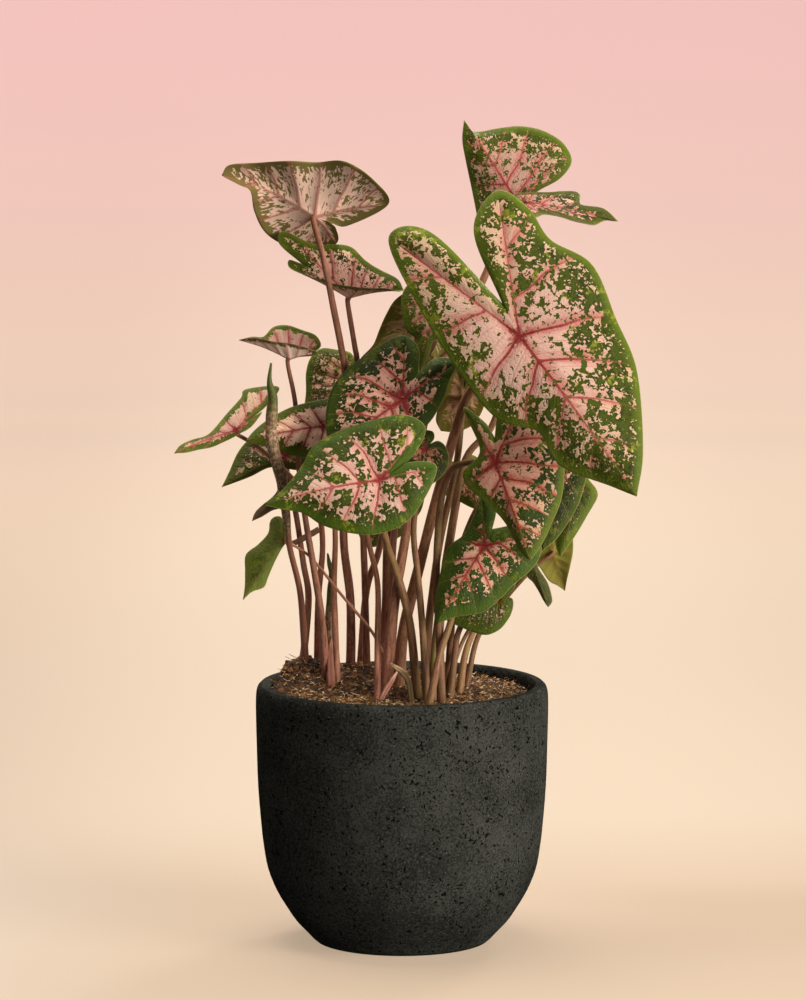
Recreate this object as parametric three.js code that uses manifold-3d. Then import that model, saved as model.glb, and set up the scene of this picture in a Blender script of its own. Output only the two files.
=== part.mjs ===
import * as THREE from "three";
import { mergeVertices } from "three/addons/utils/BufferGeometryUtils.js";
import Module from "manifold-3d";

// A caladium in a round pot, in millimetres. +Z is up, +X to the right and +Y towards the back.
// The origin is the centre of the pot's flat underside.

const clearance = 0.45; // kept round a stalk where it stands in the soil
const touchGap = 0.35; // kept between a stalk's end and the blade it carries

// Pot: radius and height of its wall, from the foot to the lip and down the inside.
const potHeight = 160;
const potSegments = 36;
const potOutside = [
  [54, 0], [60.4, 7], [66, 13], [70.8, 20], [77.9, 32], [83, 45], [85.4, 58], [86.9, 71], [88.9, 96],
  [89.7, 122], [90.2, 148], [89.4, 157], [87.2, potHeight],
];
const potInside = [
  [82.6, potHeight], [81.2, 157], [80.8, 148], [80.6, 122], [79.4, 96], [77.2, 71], [73.4, 50],
  [66, 32], [54, 19], [42, 13],
];
const potFloor = 12;

// Soil: it follows the pot's inner wall and is heaped up where the stalks stand.
const soilGap = 0.4;
const soilLevel = 152;
const soilHeaps = [
  { x: -22, y: 26, wide: 38, deep: 26, high: 14 },
  { x: -60, y: 24, wide: 22, deep: 30, high: 6 },
  { x: 40, y: 30, wide: 30, deep: 30, high: 4 },
  { x: -66, y: 32, wide: 15, deep: 22, high: 8 },
];
const soilRings = [0.95, 0.76, 0.57, 0.38, 0.19];
const soilRoughness = 1.1;
const chipCount = 24;
const chipSize = [2.2, 4.6];
const rootedLength = 20; // how far a stalk reaches down into the soil

// Blades
const bladeThickness = 0.8;
const bladeRings = [0.38, 0.72, 1]; // from the stalk's joint out to the edge
const longBlade = 46; // a longer blade has its edge drawn in finer steps
const rippleShare = 0.014; // height of the edge's waves, as a share of the blade's length
const stalkSides = 6;
const rolledSides = 8;
const rodSteps = 1.6; // rings for each stretch of a rod's line

// Each leaf has its hub, where the stalk meets the blade, and the blade's edge as [x, z] or
// [x, z, shift towards the back]: the tip, the right half up to the notch, and the left half.
// lean says how much the blade moves back per mm along x and z, and fold per mm from its midrib.
const leaves = [
  {
    name: "leaf_01", hub: [70, -72, 381], lean: [-0.05, 0.33], fold: 0.12, bulge: 8,
    tip: [139, 289], sinus: [60, 400],
    right: [[143, 315], [140, 361], [128, 391], [114, 422], [89, 437], [76, 456], [57, 466], [43, 442]],
    left: [[124, 295], [94, 306], [81, 325], [58, 332], [38, 354], [9, 399], [-8, 438], [17, 442]],
    stalkRadii: [3.6, 2.6],
    stalk: [[-2, 6, 160], [1, 4, 192], [11, 2, 234], [18, 0, 262], [31, -8, 312], [40, -20, 340],
      [57, -46, 366]],
  },
  {
    name: "leaf_02", hub: [69, 14, 458], lean: [-0.1, 0.3], fold: 0.1, bulge: 4,
    tip: [38, 505, -5], sinus: [72, 454],
    right: [[37, 493, -4], [39, 481, -4], [42, 467], [45, 452], [48, 437], [53, 430], [60, 429],
      [66, 440]],
    left: [[44, 498], [60, 500], [74, 501], [88, 498], [99, 491], [104, 480], [97, 470], [84, 463]],
    stalkRadii: [3.6, 1.9],
    stalk: [[-10, -6, 157], [-7, -12, 189], [-4, -14, 217], [2, -14, 252], [10, -6, 305], [21, 4, 353],
      [31, 8, 368], [51, 22, 410]],
  },
  {
    name: "leaf_03", hub: [75, -12, 457], lean: [0.05, 0.8], fold: 0, bulge: 1.5,
    tip: [131, 446], sinus: [70, 456],
    right: [[122, 453], [109, 456], [108, 463, 5], [97, 463, 5], [89, 462, 5], [81, 463, 5],
      [69, 462, 5], [67, 458]],
    left: [[123, 447], [115, 444, -7], [104, 446, -7], [93, 450, -7], [86, 451, -7], [80, 448, -7],
      [68, 449, -7], [67, 454]],
    stalkRadii: [2.9, 1.6],
    stalk: [[19, -18, 156], [21, -10, 188], [25, 0, 221], [30, 8, 253], [39, 14, 297], [57, 12, 322],
      [67, 4, 378]],
  },
  {
    name: "leaf_04", hub: [-53, -8, 448], lean: [-0.12, -0.75], fold: 0, bulge: 5, shownFromBelow: true,
    tip: [-109, 474], sinus: [-43, 444],
    right: [[-99, 469], [-92, 464], [-90, 451], [-84, 439], [-73, 431], [-56, 426, 3], [-40, 431],
      [-40, 441]],
    left: [[-104, 480], [-87, 482, 5], [-67, 484], [-51, 482, 5], [-34, 483], [-18, 473], [-8, 457],
      [-33, 442]],
    stalkRadii: [2.9, 1.6],
    stalk: [[-32, 34, 164], [-32, 22, 208], [-36, 10, 248], [-35, 3, 298], [-35, -1, 332],
      [-35, -10, 356], [-41, -23, 391], [-47, -25, 422]],
  },
  {
    name: "leaf_05", hub: [-32, -11, 399], lean: [0.2, 0.45], fold: 0, bulge: 2,
    tip: [1, 403], sinus: [-61, 419.5],
    right: [[-3, 409.5], [-13.5, 415], [-22.5, 421], [-30.5, 429], [-41, 431], [-55, 431.5],
      [-72, 438.5], [-75, 431.5]],
    left: [[-2.5, 403, -5], [-10.5, 405.5, -11], [-19.5, 405.5, -14], [-28, 406, -14], [-40, 408, -13],
      [-54.5, 412, -10], [-67.5, 417.5, -6], [-68.5, 422]],
    stalkRadii: [2.3, 1.4],
    stalk: [[-22, 30, 166], [-23, 22, 218], [-24, 18, 248], [-26, 1, 304], [-27, -4, 354],
      [-29, -7, 370]],
  },
  {
    name: "leaf_06", hub: [-69, -5, 361], lean: [0.1, 0.5], fold: 0, bulge: 1.5,
    tip: [-99.5, 372.5], sinus: [-61, 362.5],
    right: [[-94, 373.5, -4], [-86.5, 373.5, -9], [-78.5, 372.5, -12], [-70, 372, -13],
      [-62, 370, -12], [-55.5, 367.5, -10], [-52, 365, -6], [-55.5, 362.5]],
    left: [[-91.5, 374.5], [-84.5, 374.5], [-78.5, 380], [-70, 380.5], [-59.5, 377], [-52.5, 374.5],
      [-49.5, 369], [-54, 365]],
    stalkRadii: [2.6, 1.1],
    stalk: [[-47, 10, 159], [-49, 0, 196], [-54, -8, 232], [-59, -8, 262], [-63, 0, 291], [-65, 2, 330]],
  },
  {
    name: "leaf_07", hub: [-101, -20, 319], lean: [0.2, 0.6], fold: 0.2, bulge: 2,
    tip: [-138, 306.5], sinus: [-93, 324.5],
    right: [[-130.5, 306.5], [-123.5, 308], [-115.5, 309.5], [-107, 313], [-100, 316.5], [-92, 320.5],
      [-85.5, 328.5], [-89, 327]],
    left: [[-134.5, 311], [-127.5, 314], [-117.5, 317], [-107.5, 327.5], [-98.5, 337], [-95.5, 342],
      [-75.5, 343.5], [-82, 333.5]],
    stalkRadii: [2.2, 1.1],
    stalk: [[-53, 40, 164], [-52, 26, 208], [-49, 14, 244], [-52, 2, 268], [-61, -9, 282],
      [-85, -14, 306]],
  },
  {
    name: "leaf_08", hub: [-48, -17, 321], lean: [0.15, 0.45], fold: 0.1, bulge: 4,
    tip: [-95, 313], sinus: [-39, 320],
    right: [[-89, 311], [-80, 309], [-68, 305], [-55, 302], [-41, 302], [-29, 304], [-21, 307],
      [-29, 314]],
    left: [[-90, 319], [-82, 325], [-68, 332], [-53, 336], [-38, 338], [-27, 337], [-20, 333],
      [-27, 326]],
    stalkRadii: [2.2, 1.3],
    stalk: [[-40, 8, 158], [-41, 8, 186], [-42, 8, 220], [-41, 0, 251], [-43, -8, 287]],
  },
  {
    name: "leaf_09", hub: [-71.5, 8, 299.5], lean: [0.1, 0.45], fold: 0.1, bulge: 3,
    tip: [-110.5, 282], sinus: [-66.5, 301.5],
    right: [[-104, 284], [-93, 288], [-82.5, 293], [-73.5, 293], [-64, 291.5], [-55.5, 292.5],
      [-51.5, 296], [-58, 299.5]],
    left: [[-106, 291], [-101, 302], [-94.5, 309.5], [-85, 315], [-74, 317], [-64, 317], [-58, 313],
      [-60.5, 306]],
    stalkRadii: [2.3, 1.3],
    stalk: [[-62, 36, 167], [-58, 26, 208], [-61, 18, 232], [-65, 14, 261], [-69, 14, 280]],
  },
  {
    name: "leaf_10", hub: [0, -35, 339], lean: [0.05, 0.5], fold: 0.1, bulge: 5,
    tip: [-39, 309], sinus: [10, 355],
    right: [[-30, 307], [-14, 309], [1, 315], [16, 325], [25, 339], [29, 351], [34, 361], [21, 363]],
    left: [[-45, 318], [-46, 332], [-42, 346], [-32, 358], [-19, 367], [-9, 373], [2, 376], [10, 369]],
    stalkRadii: [3, 2],
    stalk: [[-13, 40, 167], [-10, 30, 204], [-9, 16, 246], [-5, -8, 293]],
  },
  {
    name: "leaf_11", hub: [-34.5, 14, 345], lean: [0, 0.45], fold: 0.1, bulge: 4,
    tip: [-59, 320.5], sinus: [-28.5, 350.5],
    right: [[-51.5, 319], [-38, 320], [-26, 325], [-16, 330.5], [-10, 337.5], [-5, 345], [-6, 353],
      [-16.5, 354.5]],
    left: [[-60, 328.5], [-59, 339], [-59, 350.5], [-56, 359.5], [-49.5, 364.5], [-40.5, 364],
      [-32, 362.5], [-28.5, 357]],
    stalkRadii: [2, 1.3],
    stalk: [[-15, -14, 156], [-15, -6, 188], [-15, -4, 222], [-20, -4, 246], [-26, 0, 274],
      [-31, 4, 310]],
  },
  {
    name: "leaf_12", hub: [-13, -75, 295], lean: [0, 0.42], fold: 0.12, bulge: 6,
    tip: [-83, 281], sinus: [-4, 300],
    right: [[-72, 278], [-59, 276], [-47, 269], [-30, 264], [-13, 264], [6, 274], [21, 302], [5, 305]],
    left: [[-71, 290], [-60, 303], [-53, 314], [-38, 323], [-18, 329], [1, 332], [14, 325], [8, 311]],
    stalkRadii: [2.7, 1.9],
    stalk: [[9, -16, 157], [5, -20, 199], [-2, -24, 228], [-9, -32, 250], [-13, -48, 272]],
  },
  {
    name: "leaf_13", hub: [13.5, -42, 309.5], lean: [0, 0.4], fold: 0.1, bulge: 3,
    tip: [-7, 280.5], sinus: [17, 313],
    right: [[0, 280.5], [9.5, 283.5], [17, 288.5], [23, 293], [26.5, 297.5], [28.5, 303.5],
      [26.5, 311], [22, 314.5]],
    left: [[-9.5, 287.5], [-11, 296.5], [-8.5, 305.5], [-3.5, 312.5], [2.5, 317.5], [9.5, 320.5],
      [18, 320.5], [19.5, 316.5]],
    stalkRadii: [2.4, 1.4],
    stalk: [[15, -30, 157], [13, -26, 191], [10, -28, 228], [7, -30, 258], [10, -34, 284]],
  },
  {
    name: "leaf_14", hub: [11, 26, 383], lean: [0, -0.35], fold: 0, bulge: 5, shownFromBelow: true,
    tip: [-31, 349], sinus: [18, 390],
    right: [[-21, 345], [-7, 345], [5, 346], [17, 350], [27, 358], [35, 367], [38, 377], [28, 383]],
    left: [[-25, 358], [-18, 366], [-14, 376], [-10, 385], [-4, 395], [6, 402], [20, 407], [23, 398]],
    stalkRadii: [2.4, 1.5],
    stalk: [[-26, 46, 164], [-22, 36, 213], [-14, 30, 240], [-6, 24, 289], [2, 20, 333]],
  },
  {
    name: "leaf_15", hub: [22, 10, 394.5], lean: [0, 0.35], fold: 0.1, bulge: 3,
    tip: [11, 353], sinus: [22.5, 400],
    right: [[16, 361.5], [19.5, 371], [27, 373], [34.5, 379], [39, 389.5], [40.5, 399.5],
      [35.5, 407.5], [29.5, 405.5]],
    left: [[9, 365], [9, 372], [2.5, 378], [0, 388.5], [-0.5, 395.5], [2, 403], [10, 409.5], [17, 406]],
    stalkRadii: [2.2, 1.5],
    stalk: [[-6, 22, 163], [-6, 12, 210], [-5, 4, 248], [1, 2, 292], [13, 12, 354], [20, 14, 370]],
  },
  {
    name: "leaf_16", hub: [37, 30, 334], lean: [0, -0.4], fold: 0, bulge: 2.5, shownFromBelow: true,
    tip: [24, 312], sinus: [39.5, 342.5],
    right: [[30, 311.5], [37, 312.5], [44.5, 316.5], [49.5, 324.5], [52, 333.5], [52, 342.5],
      [48, 351.5], [42, 349]],
    left: [[21, 319], [23, 329], [26, 337.5], [27.5, 345], [29.5, 351.5], [33, 356.5], [38, 358],
      [40.5, 351.5]],
    stalkRadii: [2.7, 1.7],
    stalk: [[14, 14, 157], [17, 18, 197], [23, 20, 243], [33, 20, 290], [36, 22, 314]],
  },
  {
    name: "leaf_17", hub: [56, -46, 302], lean: [0, 0.33], fold: 0.1, bulge: 6,
    tip: [77, 245], sinus: [56, 317],
    right: [[84, 254], [90, 266], [96, 280], [98, 295], [97, 309], [90, 327], [73, 341], [59, 331]],
    left: [[71, 251], [62, 267], [51, 278], [40, 288], [37, 297], [47, 309], [37, 334], [50, 326]],
    stalkRadii: [2.5, 1.7],
    stalk: [[24, -30, 156], [23, -26, 191], [21, -22, 227], [23, -22, 270], [29, -26, 294],
      [41, -34, 301]],
  },
  {
    name: "leaf_18", hub: [50, -28, 249], lean: [0, 0.33], fold: 0.1, bulge: 5,
    tip: [21, 203], sinus: [55, 259],
    right: [[32, 207], [49, 210], [61, 219], [67, 225], [78, 234], [84, 243], [84, 255], [72, 261]],
    left: [[20, 215], [22, 227], [25, 239], [29, 249], [38, 256], [44, 267], [49, 278], [57, 271]],
    stalkRadii: [2.3, 1.5],
    stalk: [[17, -42, 156], [23, -34, 183], [29, -27, 200], [35, -24, 221], [43, -22, 236]],
  },
  {
    name: "leaf_19", hub: [59, -8, 213], lean: [0, 0.35], fold: 0.1, bulge: 4,
    tip: [27, 201], sinus: [62.5, 214.5],
    right: [[33, 198], [41.5, 194.5], [51.5, 192], [60, 195.5], [65.5, 202], [68, 208], [68, 213],
      [65, 214.5]],
    left: [[30.5, 208], [35.5, 215], [41.5, 221], [49, 224.5], [57, 227], [65, 226.5], [69.5, 222],
      [66.5, 217.5]],
    stalkRadii: [2.2, 1.4],
    stalk: [[30, -10, 157], [32, -6, 174], [35, -3, 193], [45, -3, 205]],
  },
  {
    name: "leaf_20", hub: [102, -24, 299], lean: [0, 0.35], fold: 0.1, bulge: 3,
    tip: [85, 248], sinus: [103, 305],
    right: [[93, 254], [102, 266], [108, 277], [112, 290], [114, 301], [114, 310], [111, 318],
      [106, 312]],
    left: [[84, 255], [84, 267], [85, 280], [88, 295], [90, 307], [94, 314], [99, 318], [102, 311]],
    stalkRadii: [2.4, 1.4],
    stalk: [[28, 4, 157], [30, 4, 186], [33, 4, 224], [39, 0, 252], [51, -6, 276], [75, -12, 294]],
  },
  {
    name: "leaf_21", hub: [109, -6, 282.5], lean: [0, 0.35], fold: 0.1, bulge: 3,
    tip: [96.5, 241], sinus: [109, 286],
    right: [[101.5, 247.5], [107.5, 256], [113, 265], [119.5, 276], [119, 281], [115, 286], [112, 290],
      [109.5, 289]],
    left: [[94, 248], [94, 258], [95.5, 269], [98, 278], [100.5, 285.5], [103, 290], [106, 292],
      [107, 289]],
    stalkRadii: [2.2, 1.3],
    stalk: [[36, 0, 157], [39, 6, 177], [46, 12, 194], [60, 12, 219], [85, 6, 251]],
  },
  {
    name: "leaf_22", hub: [92.5, 14, 239.5], lean: [0, -0.35], fold: 0, bulge: 2, shownFromBelow: true,
    tip: [101, 214], sinus: [93, 246],
    right: [[102, 221], [104, 230.5], [105.5, 239.5], [105.5, 247.5], [104.5, 254], [102, 259],
      [97, 260.5], [95, 254]],
    left: [[96, 217.5], [91, 220.5], [85.5, 229], [81.5, 235.5], [81.5, 243.5], [84, 251.5],
      [88.5, 255], [91, 251.5]],
    stalkRadii: [1.8, 1.1],
    stalk: [[40, 12, 156], [47, 18, 186], [61, 18, 206], [79, 11, 228]],
  },
  {
    name: "leaf_23", hub: [79.5, -22, 237.5], lean: [0, 0.3], fold: 0.3, bulge: 1,
    tip: [89, 211.5], sinus: [78.5, 240],
    right: [[91.5, 214.5], [91, 219], [89, 225.5], [85.5, 231], [83, 235], [82, 239.5], [80.5, 242.5],
      [79.5, 241]],
    left: [[86, 216], [83, 221.5], [79.5, 226.5], [76.5, 229], [75, 233.5], [75, 238], [77, 242],
      [78, 241.5]],
    stalkRadii: [1.4, 0.9],
    stalk: [[26, -6, 157], [33, -2, 175], [41, 4, 192], [60, 9, 217], [71, -3, 229]],
  },
  {
    name: "leaf_24", hub: [-72.5, -26, 252], lean: [0, 0.4], fold: 0.2, bulge: 2,
    tip: [-96.5, 217.5], sinus: [-72, 258.5],
    right: [[-91, 222], [-84, 224.5], [-81.5, 230.5], [-77.5, 240], [-73.5, 247], [-70, 252.5],
      [-69.5, 260.5], [-71.5, 264.5]],
    left: [[-95.5, 225.5], [-95.5, 234.5], [-95, 243.5], [-87.5, 249.5], [-81.5, 256], [-80.5, 263],
      [-77, 266], [-73, 265]],
    stalkRadii: [1, 0.8],
    stalk: [[-9, 10, 168], [-17, 4, 189], [-37, -2, 215], [-54, -1, 236], [-64, -12, 246]],
  },
  {
    name: "leaf_25", hub: [-6.5, 52, 264], lean: [0, 0.4], fold: 0.1, bulge: 3,
    tip: [-22, 238.5], sinus: [-2, 270.5],
    right: [[-16, 239], [-10.5, 240.5], [-4.5, 243], [2, 247.5], [8, 255], [12.5, 262], [13.5, 271.5],
      [5, 273]],
    left: [[-26, 244], [-28.5, 252.5], [-28, 262], [-25, 270.5], [-19, 276.5], [-11.5, 280], [-3, 281],
      [0, 275.5]],
    stalkRadii: [2, 1.3],
    stalk: [[-5, 46, 162], [-6, 54, 204], [-6, 61, 236]],
  },
  {
    name: "leaf_26", hub: [37.5, 42, 283.5], lean: [0, 0.4], fold: 0.1, bulge: 2.5,
    tip: [47, 263], sinus: [36.5, 288],
    right: [[51, 266.5], [53.5, 271.5], [54.5, 277.5], [53.5, 283.5], [51, 289.5], [47.5, 294],
      [42.5, 296], [39, 292.5]],
    left: [[41, 265.5], [35, 268.5], [28, 271], [24, 275.5], [23, 282], [25.5, 288.5], [30, 292.5],
      [34, 291]],
    stalkRadii: [2, 1.3],
    stalk: [[22, 44, 158], [26, 48, 205], [31, 50, 242]],
  },
  {
    name: "withered_leaf", hub: [-72.5, -29, 281.5], lean: [0, 0.3], fold: 0.3, bulge: 0.5,
    tip: [-91, 265], sinus: [-71.5, 283],
    right: [[-85, 267.5], [-79, 271], [-74, 272.5], [-71, 275.5], [-70, 278.5], [-69.5, 281],
      [-70, 283], [-71, 283.5]],
    left: [[-90, 268.5], [-88, 271.5], [-84, 275], [-80, 278], [-77, 281], [-75.5, 283.5],
      [-74, 284.5], [-73, 284.5]],
  },];

// Closed shoots, from the base up: points of the middle line and the radius at each.
const shoots = [
  {
    name: "rolled_leaf",
    line: [[-60, 28, 165], [-61, 20, 190], [-63, 2, 218], [-68, -26, 246], [-69, -34, 257],
      [-71, -38, 275], [-73, -40, 292], [-77, -41, 308], [-79, -41, 321], [-78, -41, 340],
      [-80, -41, 351], [-79, -40, 362]],
    radii: [2.4, 2.2, 1.9, 1.8, 1.8, 3, 3.7, 3.7, 3.5, 3.2, 1.6, 0.6],
  },
  {
    name: "rolled_leaf_small",
    line: [[-44, 24, 162], [-44, 22, 176], [-45, 20, 190], [-44, 20, 209], [-43, 20, 224],
      [-45, 20, 232], [-46, 20, 238]],
    radii: [2.6, 2.5, 2.8, 2.9, 2.4, 1.3, 0.5],
  },
  {
    name: "sprout",
    line: [[6, -30, 152], [4, -26, 165], [0, -26, 171], [-4, -26, 174], [-7, -24, 176]],
    radii: [1.6, 1.3, 1.1, 0.9, 0.5],
  },
];

const vector = (p) => new THREE.Vector3(...p);
const smoothLine = (points) =>
  new THREE.CatmullRomCurve3(points, false, "catmullrom", 0.5);

// A closed solid: a point, rings of equally many points, and a point. A ring runs counter-clockwise
// seen from the last point. From ring `turned` on, the quads are split along their other diagonal.
function loft(first, rings, last, turned = Infinity) {
  const count = rings[0].length;
  const end = 1 + rings.length * count;
  const at = (ring, i) => 1 + ring * count + (i % count);
  const index = [];
  for (let i = 0; i < count; i++) {
    index.push(0, at(0, i + 1), at(0, i));
    index.push(end, at(rings.length - 1, i), at(rings.length - 1, i + 1));
  }
  for (let r = 0; r + 1 < rings.length; r++)
    for (let i = 0; i < count; i++) {
      const [a, b, c, d] = [at(r, i), at(r, i + 1), at(r + 1, i + 1), at(r + 1, i)];
      if (r < turned) index.push(a, b, c, a, c, d);
      else index.push(a, b, d, b, c, d);
    }
  const points = [first, ...rings.flat(), last];
  const geometry = new THREE.BufferGeometry();
  geometry.setAttribute(
    "position",
    new THREE.Float32BufferAttribute(points.flatMap((p) => [p.x, p.y, p.z]), 3),
  );
  geometry.setIndex(index);
  geometry.computeVertexNormals();
  return geometry;
}

// A level ring round the pot's axis.
function levelRing(radius, heightAt) {
  return Array.from({ length: potSegments }, (_, i) => {
    const turn = (2 * Math.PI * i) / potSegments;
    const [x, y] = [radius * Math.cos(turn), radius * Math.sin(turn)];
    return new THREE.Vector3(x, y, heightAt(x, y));
  });
}

function makePot() {
  const rings = [...potOutside, ...potInside].map(([radius, z]) =>
    levelRing(radius, () => z),
  );
  return loft(vector([0, 0, 0]), rings, vector([0, 0, potFloor]));
}

// A rod along a smooth line. Each radius belongs to a point of the line; grow thickens the rod and
// makes its first end longer by the same amount.
function rod(points, radii, sides, grow = 0) {
  const line = points.map((p) => p.clone());
  const back = line[0].clone().sub(line[1]).normalize();
  line[0].addScaledVector(back, grow);
  const curve = smoothLine(line);
  const steps = Math.round(rodSteps * (line.length - 1));
  let side = vector([0, 1, 0]);
  const rings = [];
  for (let k = 0; k <= steps; k++) {
    const centre = curve.getPoint(k / steps);
    const along = curve.getTangent(k / steps);
    side = side.clone().addScaledVector(along, -side.dot(along)).normalize();
    const across = along.clone().cross(side);
    const place = (k / steps) * (radii.length - 1);
    const low = Math.min(Math.floor(place), radii.length - 2);
    const radius = THREE.MathUtils.lerp(radii[low], radii[low + 1], place - low) + grow;
    rings.push(
      Array.from({ length: sides }, (_, i) => {
        const turn = (2 * Math.PI * i) / sides;
        return centre
          .clone()
          .addScaledVector(side, radius * Math.cos(turn))
          .addScaledVector(across, radius * Math.sin(turn));
      }),
    );
  }
  return loft(curve.getPoint(0), rings, curve.getPoint(1));
}

// The line of a shoot, made longer at its foot so that it stands in the soil.
function rooted(line) {
  const foot = line[0].clone().sub(line[1]).normalize().multiplyScalar(rootedLength);
  return [line[0].clone().add(foot), ...line];
}

// A point of a blade's edge, from its [x, z, shift] in the table.
function edgePoint(leaf, [x, z, shift = 0]) {
  const [hx, hy, hz] = leaf.hub;
  const [dx, dz] = [x - hx, z - hz];
  const [tx, tz] = [leaf.tip[0] - hx, leaf.tip[1] - hz];
  const offMidrib = Math.abs(tx * dz - tz * dx) / Math.hypot(tx, tz);
  const y = hy + leaf.lean[0] * dx + leaf.lean[1] * dz + leaf.fold * offMidrib + shift;
  return new THREE.Vector3(x, y, z);
}

// The blade's middle sheet: its hub, its rings of points and the normal at each, towards the front.
function bladeSheet(leaf) {
  const hub = vector(leaf.hub);
  const tip = edgePoint(leaf, leaf.tip);
  const notch = edgePoint(leaf, leaf.sinus);
  const length = hub.distanceTo(tip);
  const half = (side) => {
    const stations = [tip, ...side.map((p) => edgePoint(leaf, p)), notch];
    const steps = (length > longBlade ? 2 : 1) * (stations.length - 1);
    return smoothLine(stations).getPoints(steps);
  };
  const edge = [...half(leaf.right), ...half(leaf.left).reverse().slice(1, -1)];
  const front = new THREE.Vector3();
  edge.forEach((p, i) => {
    const next = edge[(i + 1) % edge.length];
    front.add(p.clone().sub(hub).cross(next.clone().sub(hub)));
  });
  front.normalize();
  const domed = leaf.shownFromBelow ? -leaf.bulge : leaf.bulge;
  const waves = length > longBlade ? 5 : 3;
  const rings = bladeRings.map((share) =>
    edge.map((p, i) => {
      const ripple = Math.sin((2 * Math.PI * waves * i) / edge.length);
      return hub
        .clone()
        .lerp(p, share)
        .addScaledVector(front, domed * Math.sin(Math.PI * share))
        .addScaledVector(front, ripple * rippleShare * length * share ** 2);
    }),
  );
  const sheet = [hub, ...rings.flat()];
  const normals = sheet.map(() => new THREE.Vector3());
  const count = edge.length;
  const at = (ring, i) => (ring < 0 ? 0 : 1 + ring * count + (i % count));
  const face = (...corners) => {
    const [a, b, c] = corners.map((k) => sheet[k]);
    const normal = b.clone().sub(a).cross(c.clone().sub(a));
    corners.forEach((k) => normals[k].add(normal));
  };
  for (let r = -1; r + 1 < rings.length; r++)
    for (let i = 0; i < count; i++) {
      face(at(r, i), at(r + 1, i), at(r + 1, i + 1));
      if (r >= 0) face(at(r, i), at(r + 1, i + 1), at(r, i + 1));
    }
  normals.forEach((n) => n.normalize());
  return { sheet, normals, count };
}

function makeBlade({ sheet, normals, count }) {
  const skin = (offset) => sheet.map((p, k) => p.clone().addScaledVector(normals[k], offset));
  const ringsOf = (points) =>
    bladeRings.map((_, r) => points.slice(1 + r * count, 1 + (r + 1) * count));
  const back = skin(-bladeThickness / 2);
  const front = skin(bladeThickness / 2);
  const rings = [...ringsOf(back), ...ringsOf(front).reverse()];
  return loft(back[0], rings, front[0], bladeRings.length);
}

// The stalk's line ends square to the blade's underside, just clear of it.
function stalkLine(leaf, { sheet, normals }) {
  const hub = sheet[0];
  const under = normals[0].clone().multiplyScalar(leaf.shownFromBelow ? 1 : -1);
  const radius = leaf.stalkRadii[1];
  const end = bladeThickness / 2 + touchGap + 0.35 * radius;
  return [
    ...rooted(leaf.stalk.map(vector)),
    hub.clone().addScaledVector(under, end + 2.5 * radius),
    hub.clone().addScaledVector(under, end),
  ];
}

const wasm = await Module();
wasm.setup();

function solidOf(geometry) {
  const plain = geometry.clone();
  plain.deleteAttribute("normal");
  const merged = mergeVertices(plain, 1e-4);
  return new wasm.Manifold(
    new wasm.Mesh({
      numProp: 3,
      vertProperties: merged.attributes.position.array,
      triVerts: new Uint32Array(merged.index.array),
    }),
  );
}

function geometryOf(solid) {
  const mesh = solid.getMesh();
  const geometry = new THREE.BufferGeometry();
  geometry.setAttribute("position", new THREE.BufferAttribute(mesh.vertProperties, 3));
  geometry.setIndex(new THREE.BufferAttribute(mesh.triVerts, 1));
  geometry.computeVertexNormals();
  return geometry;
}

let seed = 7;
function random() {
  seed = (Math.imul(seed, 1664525) + 1013904223) >>> 0;
  return seed / 2 ** 32;
}
const between = (low, high) => low + (high - low) * random();

function soilHeight(x, y) {
  const heaps = soilHeaps.map(
    (h) => h.high * Math.exp(-(((x - h.x) / h.wide) ** 2) - ((y - h.y) / h.deep) ** 2),
  );
  return soilLevel + heaps.reduce((sum, h) => sum + h, 0);
}

// A flat five-sided lump of bark or perlite, half sunk in the soil.
function makeChip(x, y) {
  const size = between(...chipSize);
  const middle = new THREE.Vector3(x, y, soilHeight(x, y) + 0.2 * size);
  const turn = between(0, 2 * Math.PI);
  const ring = Array.from({ length: 5 }, (_, i) => {
    const angle = turn + (2 * Math.PI * i) / 5;
    const reach = size * between(0.7, 1);
    return middle
      .clone()
      .add(vector([reach * Math.cos(angle), 0.7 * reach * Math.sin(angle), between(-0.3, 0.3)]));
  });
  const high = middle.clone().setZ(middle.z + 0.4 * size);
  const low = middle.clone().setZ(middle.z - 0.9 * size);
  return loft(low, [ring], high);
}

function makeSoil(lines) {
  const inside = potInside.slice(3).reverse();
  const wall = inside.map(([radius, z]) => levelRing(radius - soilGap, () => z + soilGap));
  const shore = potInside[3][0] - soilGap;
  wall.push(levelRing(shore, soilHeight));
  const rough = (x, y) => soilHeight(x, y) + between(-soilRoughness, soilRoughness);
  const top = soilRings.map((share) => levelRing(shore * share, rough));
  const bottom = vector([0, 0, potFloor + soilGap]);
  let soil = solidOf(loft(bottom, [...wall, ...top], vector([0, 0, rough(0, 0)])));
  const feet = lines.map(({ points }) => points[1]);
  for (let made = 0; made < chipCount; ) {
    const [turn, reach] = [between(0, 2 * Math.PI), shore * Math.sqrt(between(0, 0.85))];
    const [x, y] = [reach * Math.cos(turn), reach * Math.sin(turn)];
    if (feet.some((p) => Math.hypot(p.x - x, p.y - y) < 9)) continue;
    soil = soil.add(solidOf(makeChip(x, y)));
    made++;
  }
  for (const { points, radii, sides } of lines)
    soil = soil.subtract(solidOf(rod(points, radii, sides, clearance)));
  return geometryOf(soil);
}

// Colours
const paint = (color, roughness) => () =>
  new THREE.MeshStandardMaterial({ color, roughness, metalness: 0 });
const potPaint = paint(0x3b3b3e, 0.85);
const soilPaint = paint(0x54432f, 0.95);
const bladePaint = paint(0x8a8a5e, 0.55);
const stalkPaint = paint(0x7c5346, 0.5);
const rolledPaint = paint(0x7d8a5a, 0.5);
const witheredPaint = paint(0x9b7450, 0.8);
const sproutPaint = paint(0xb08070, 0.6);

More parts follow.
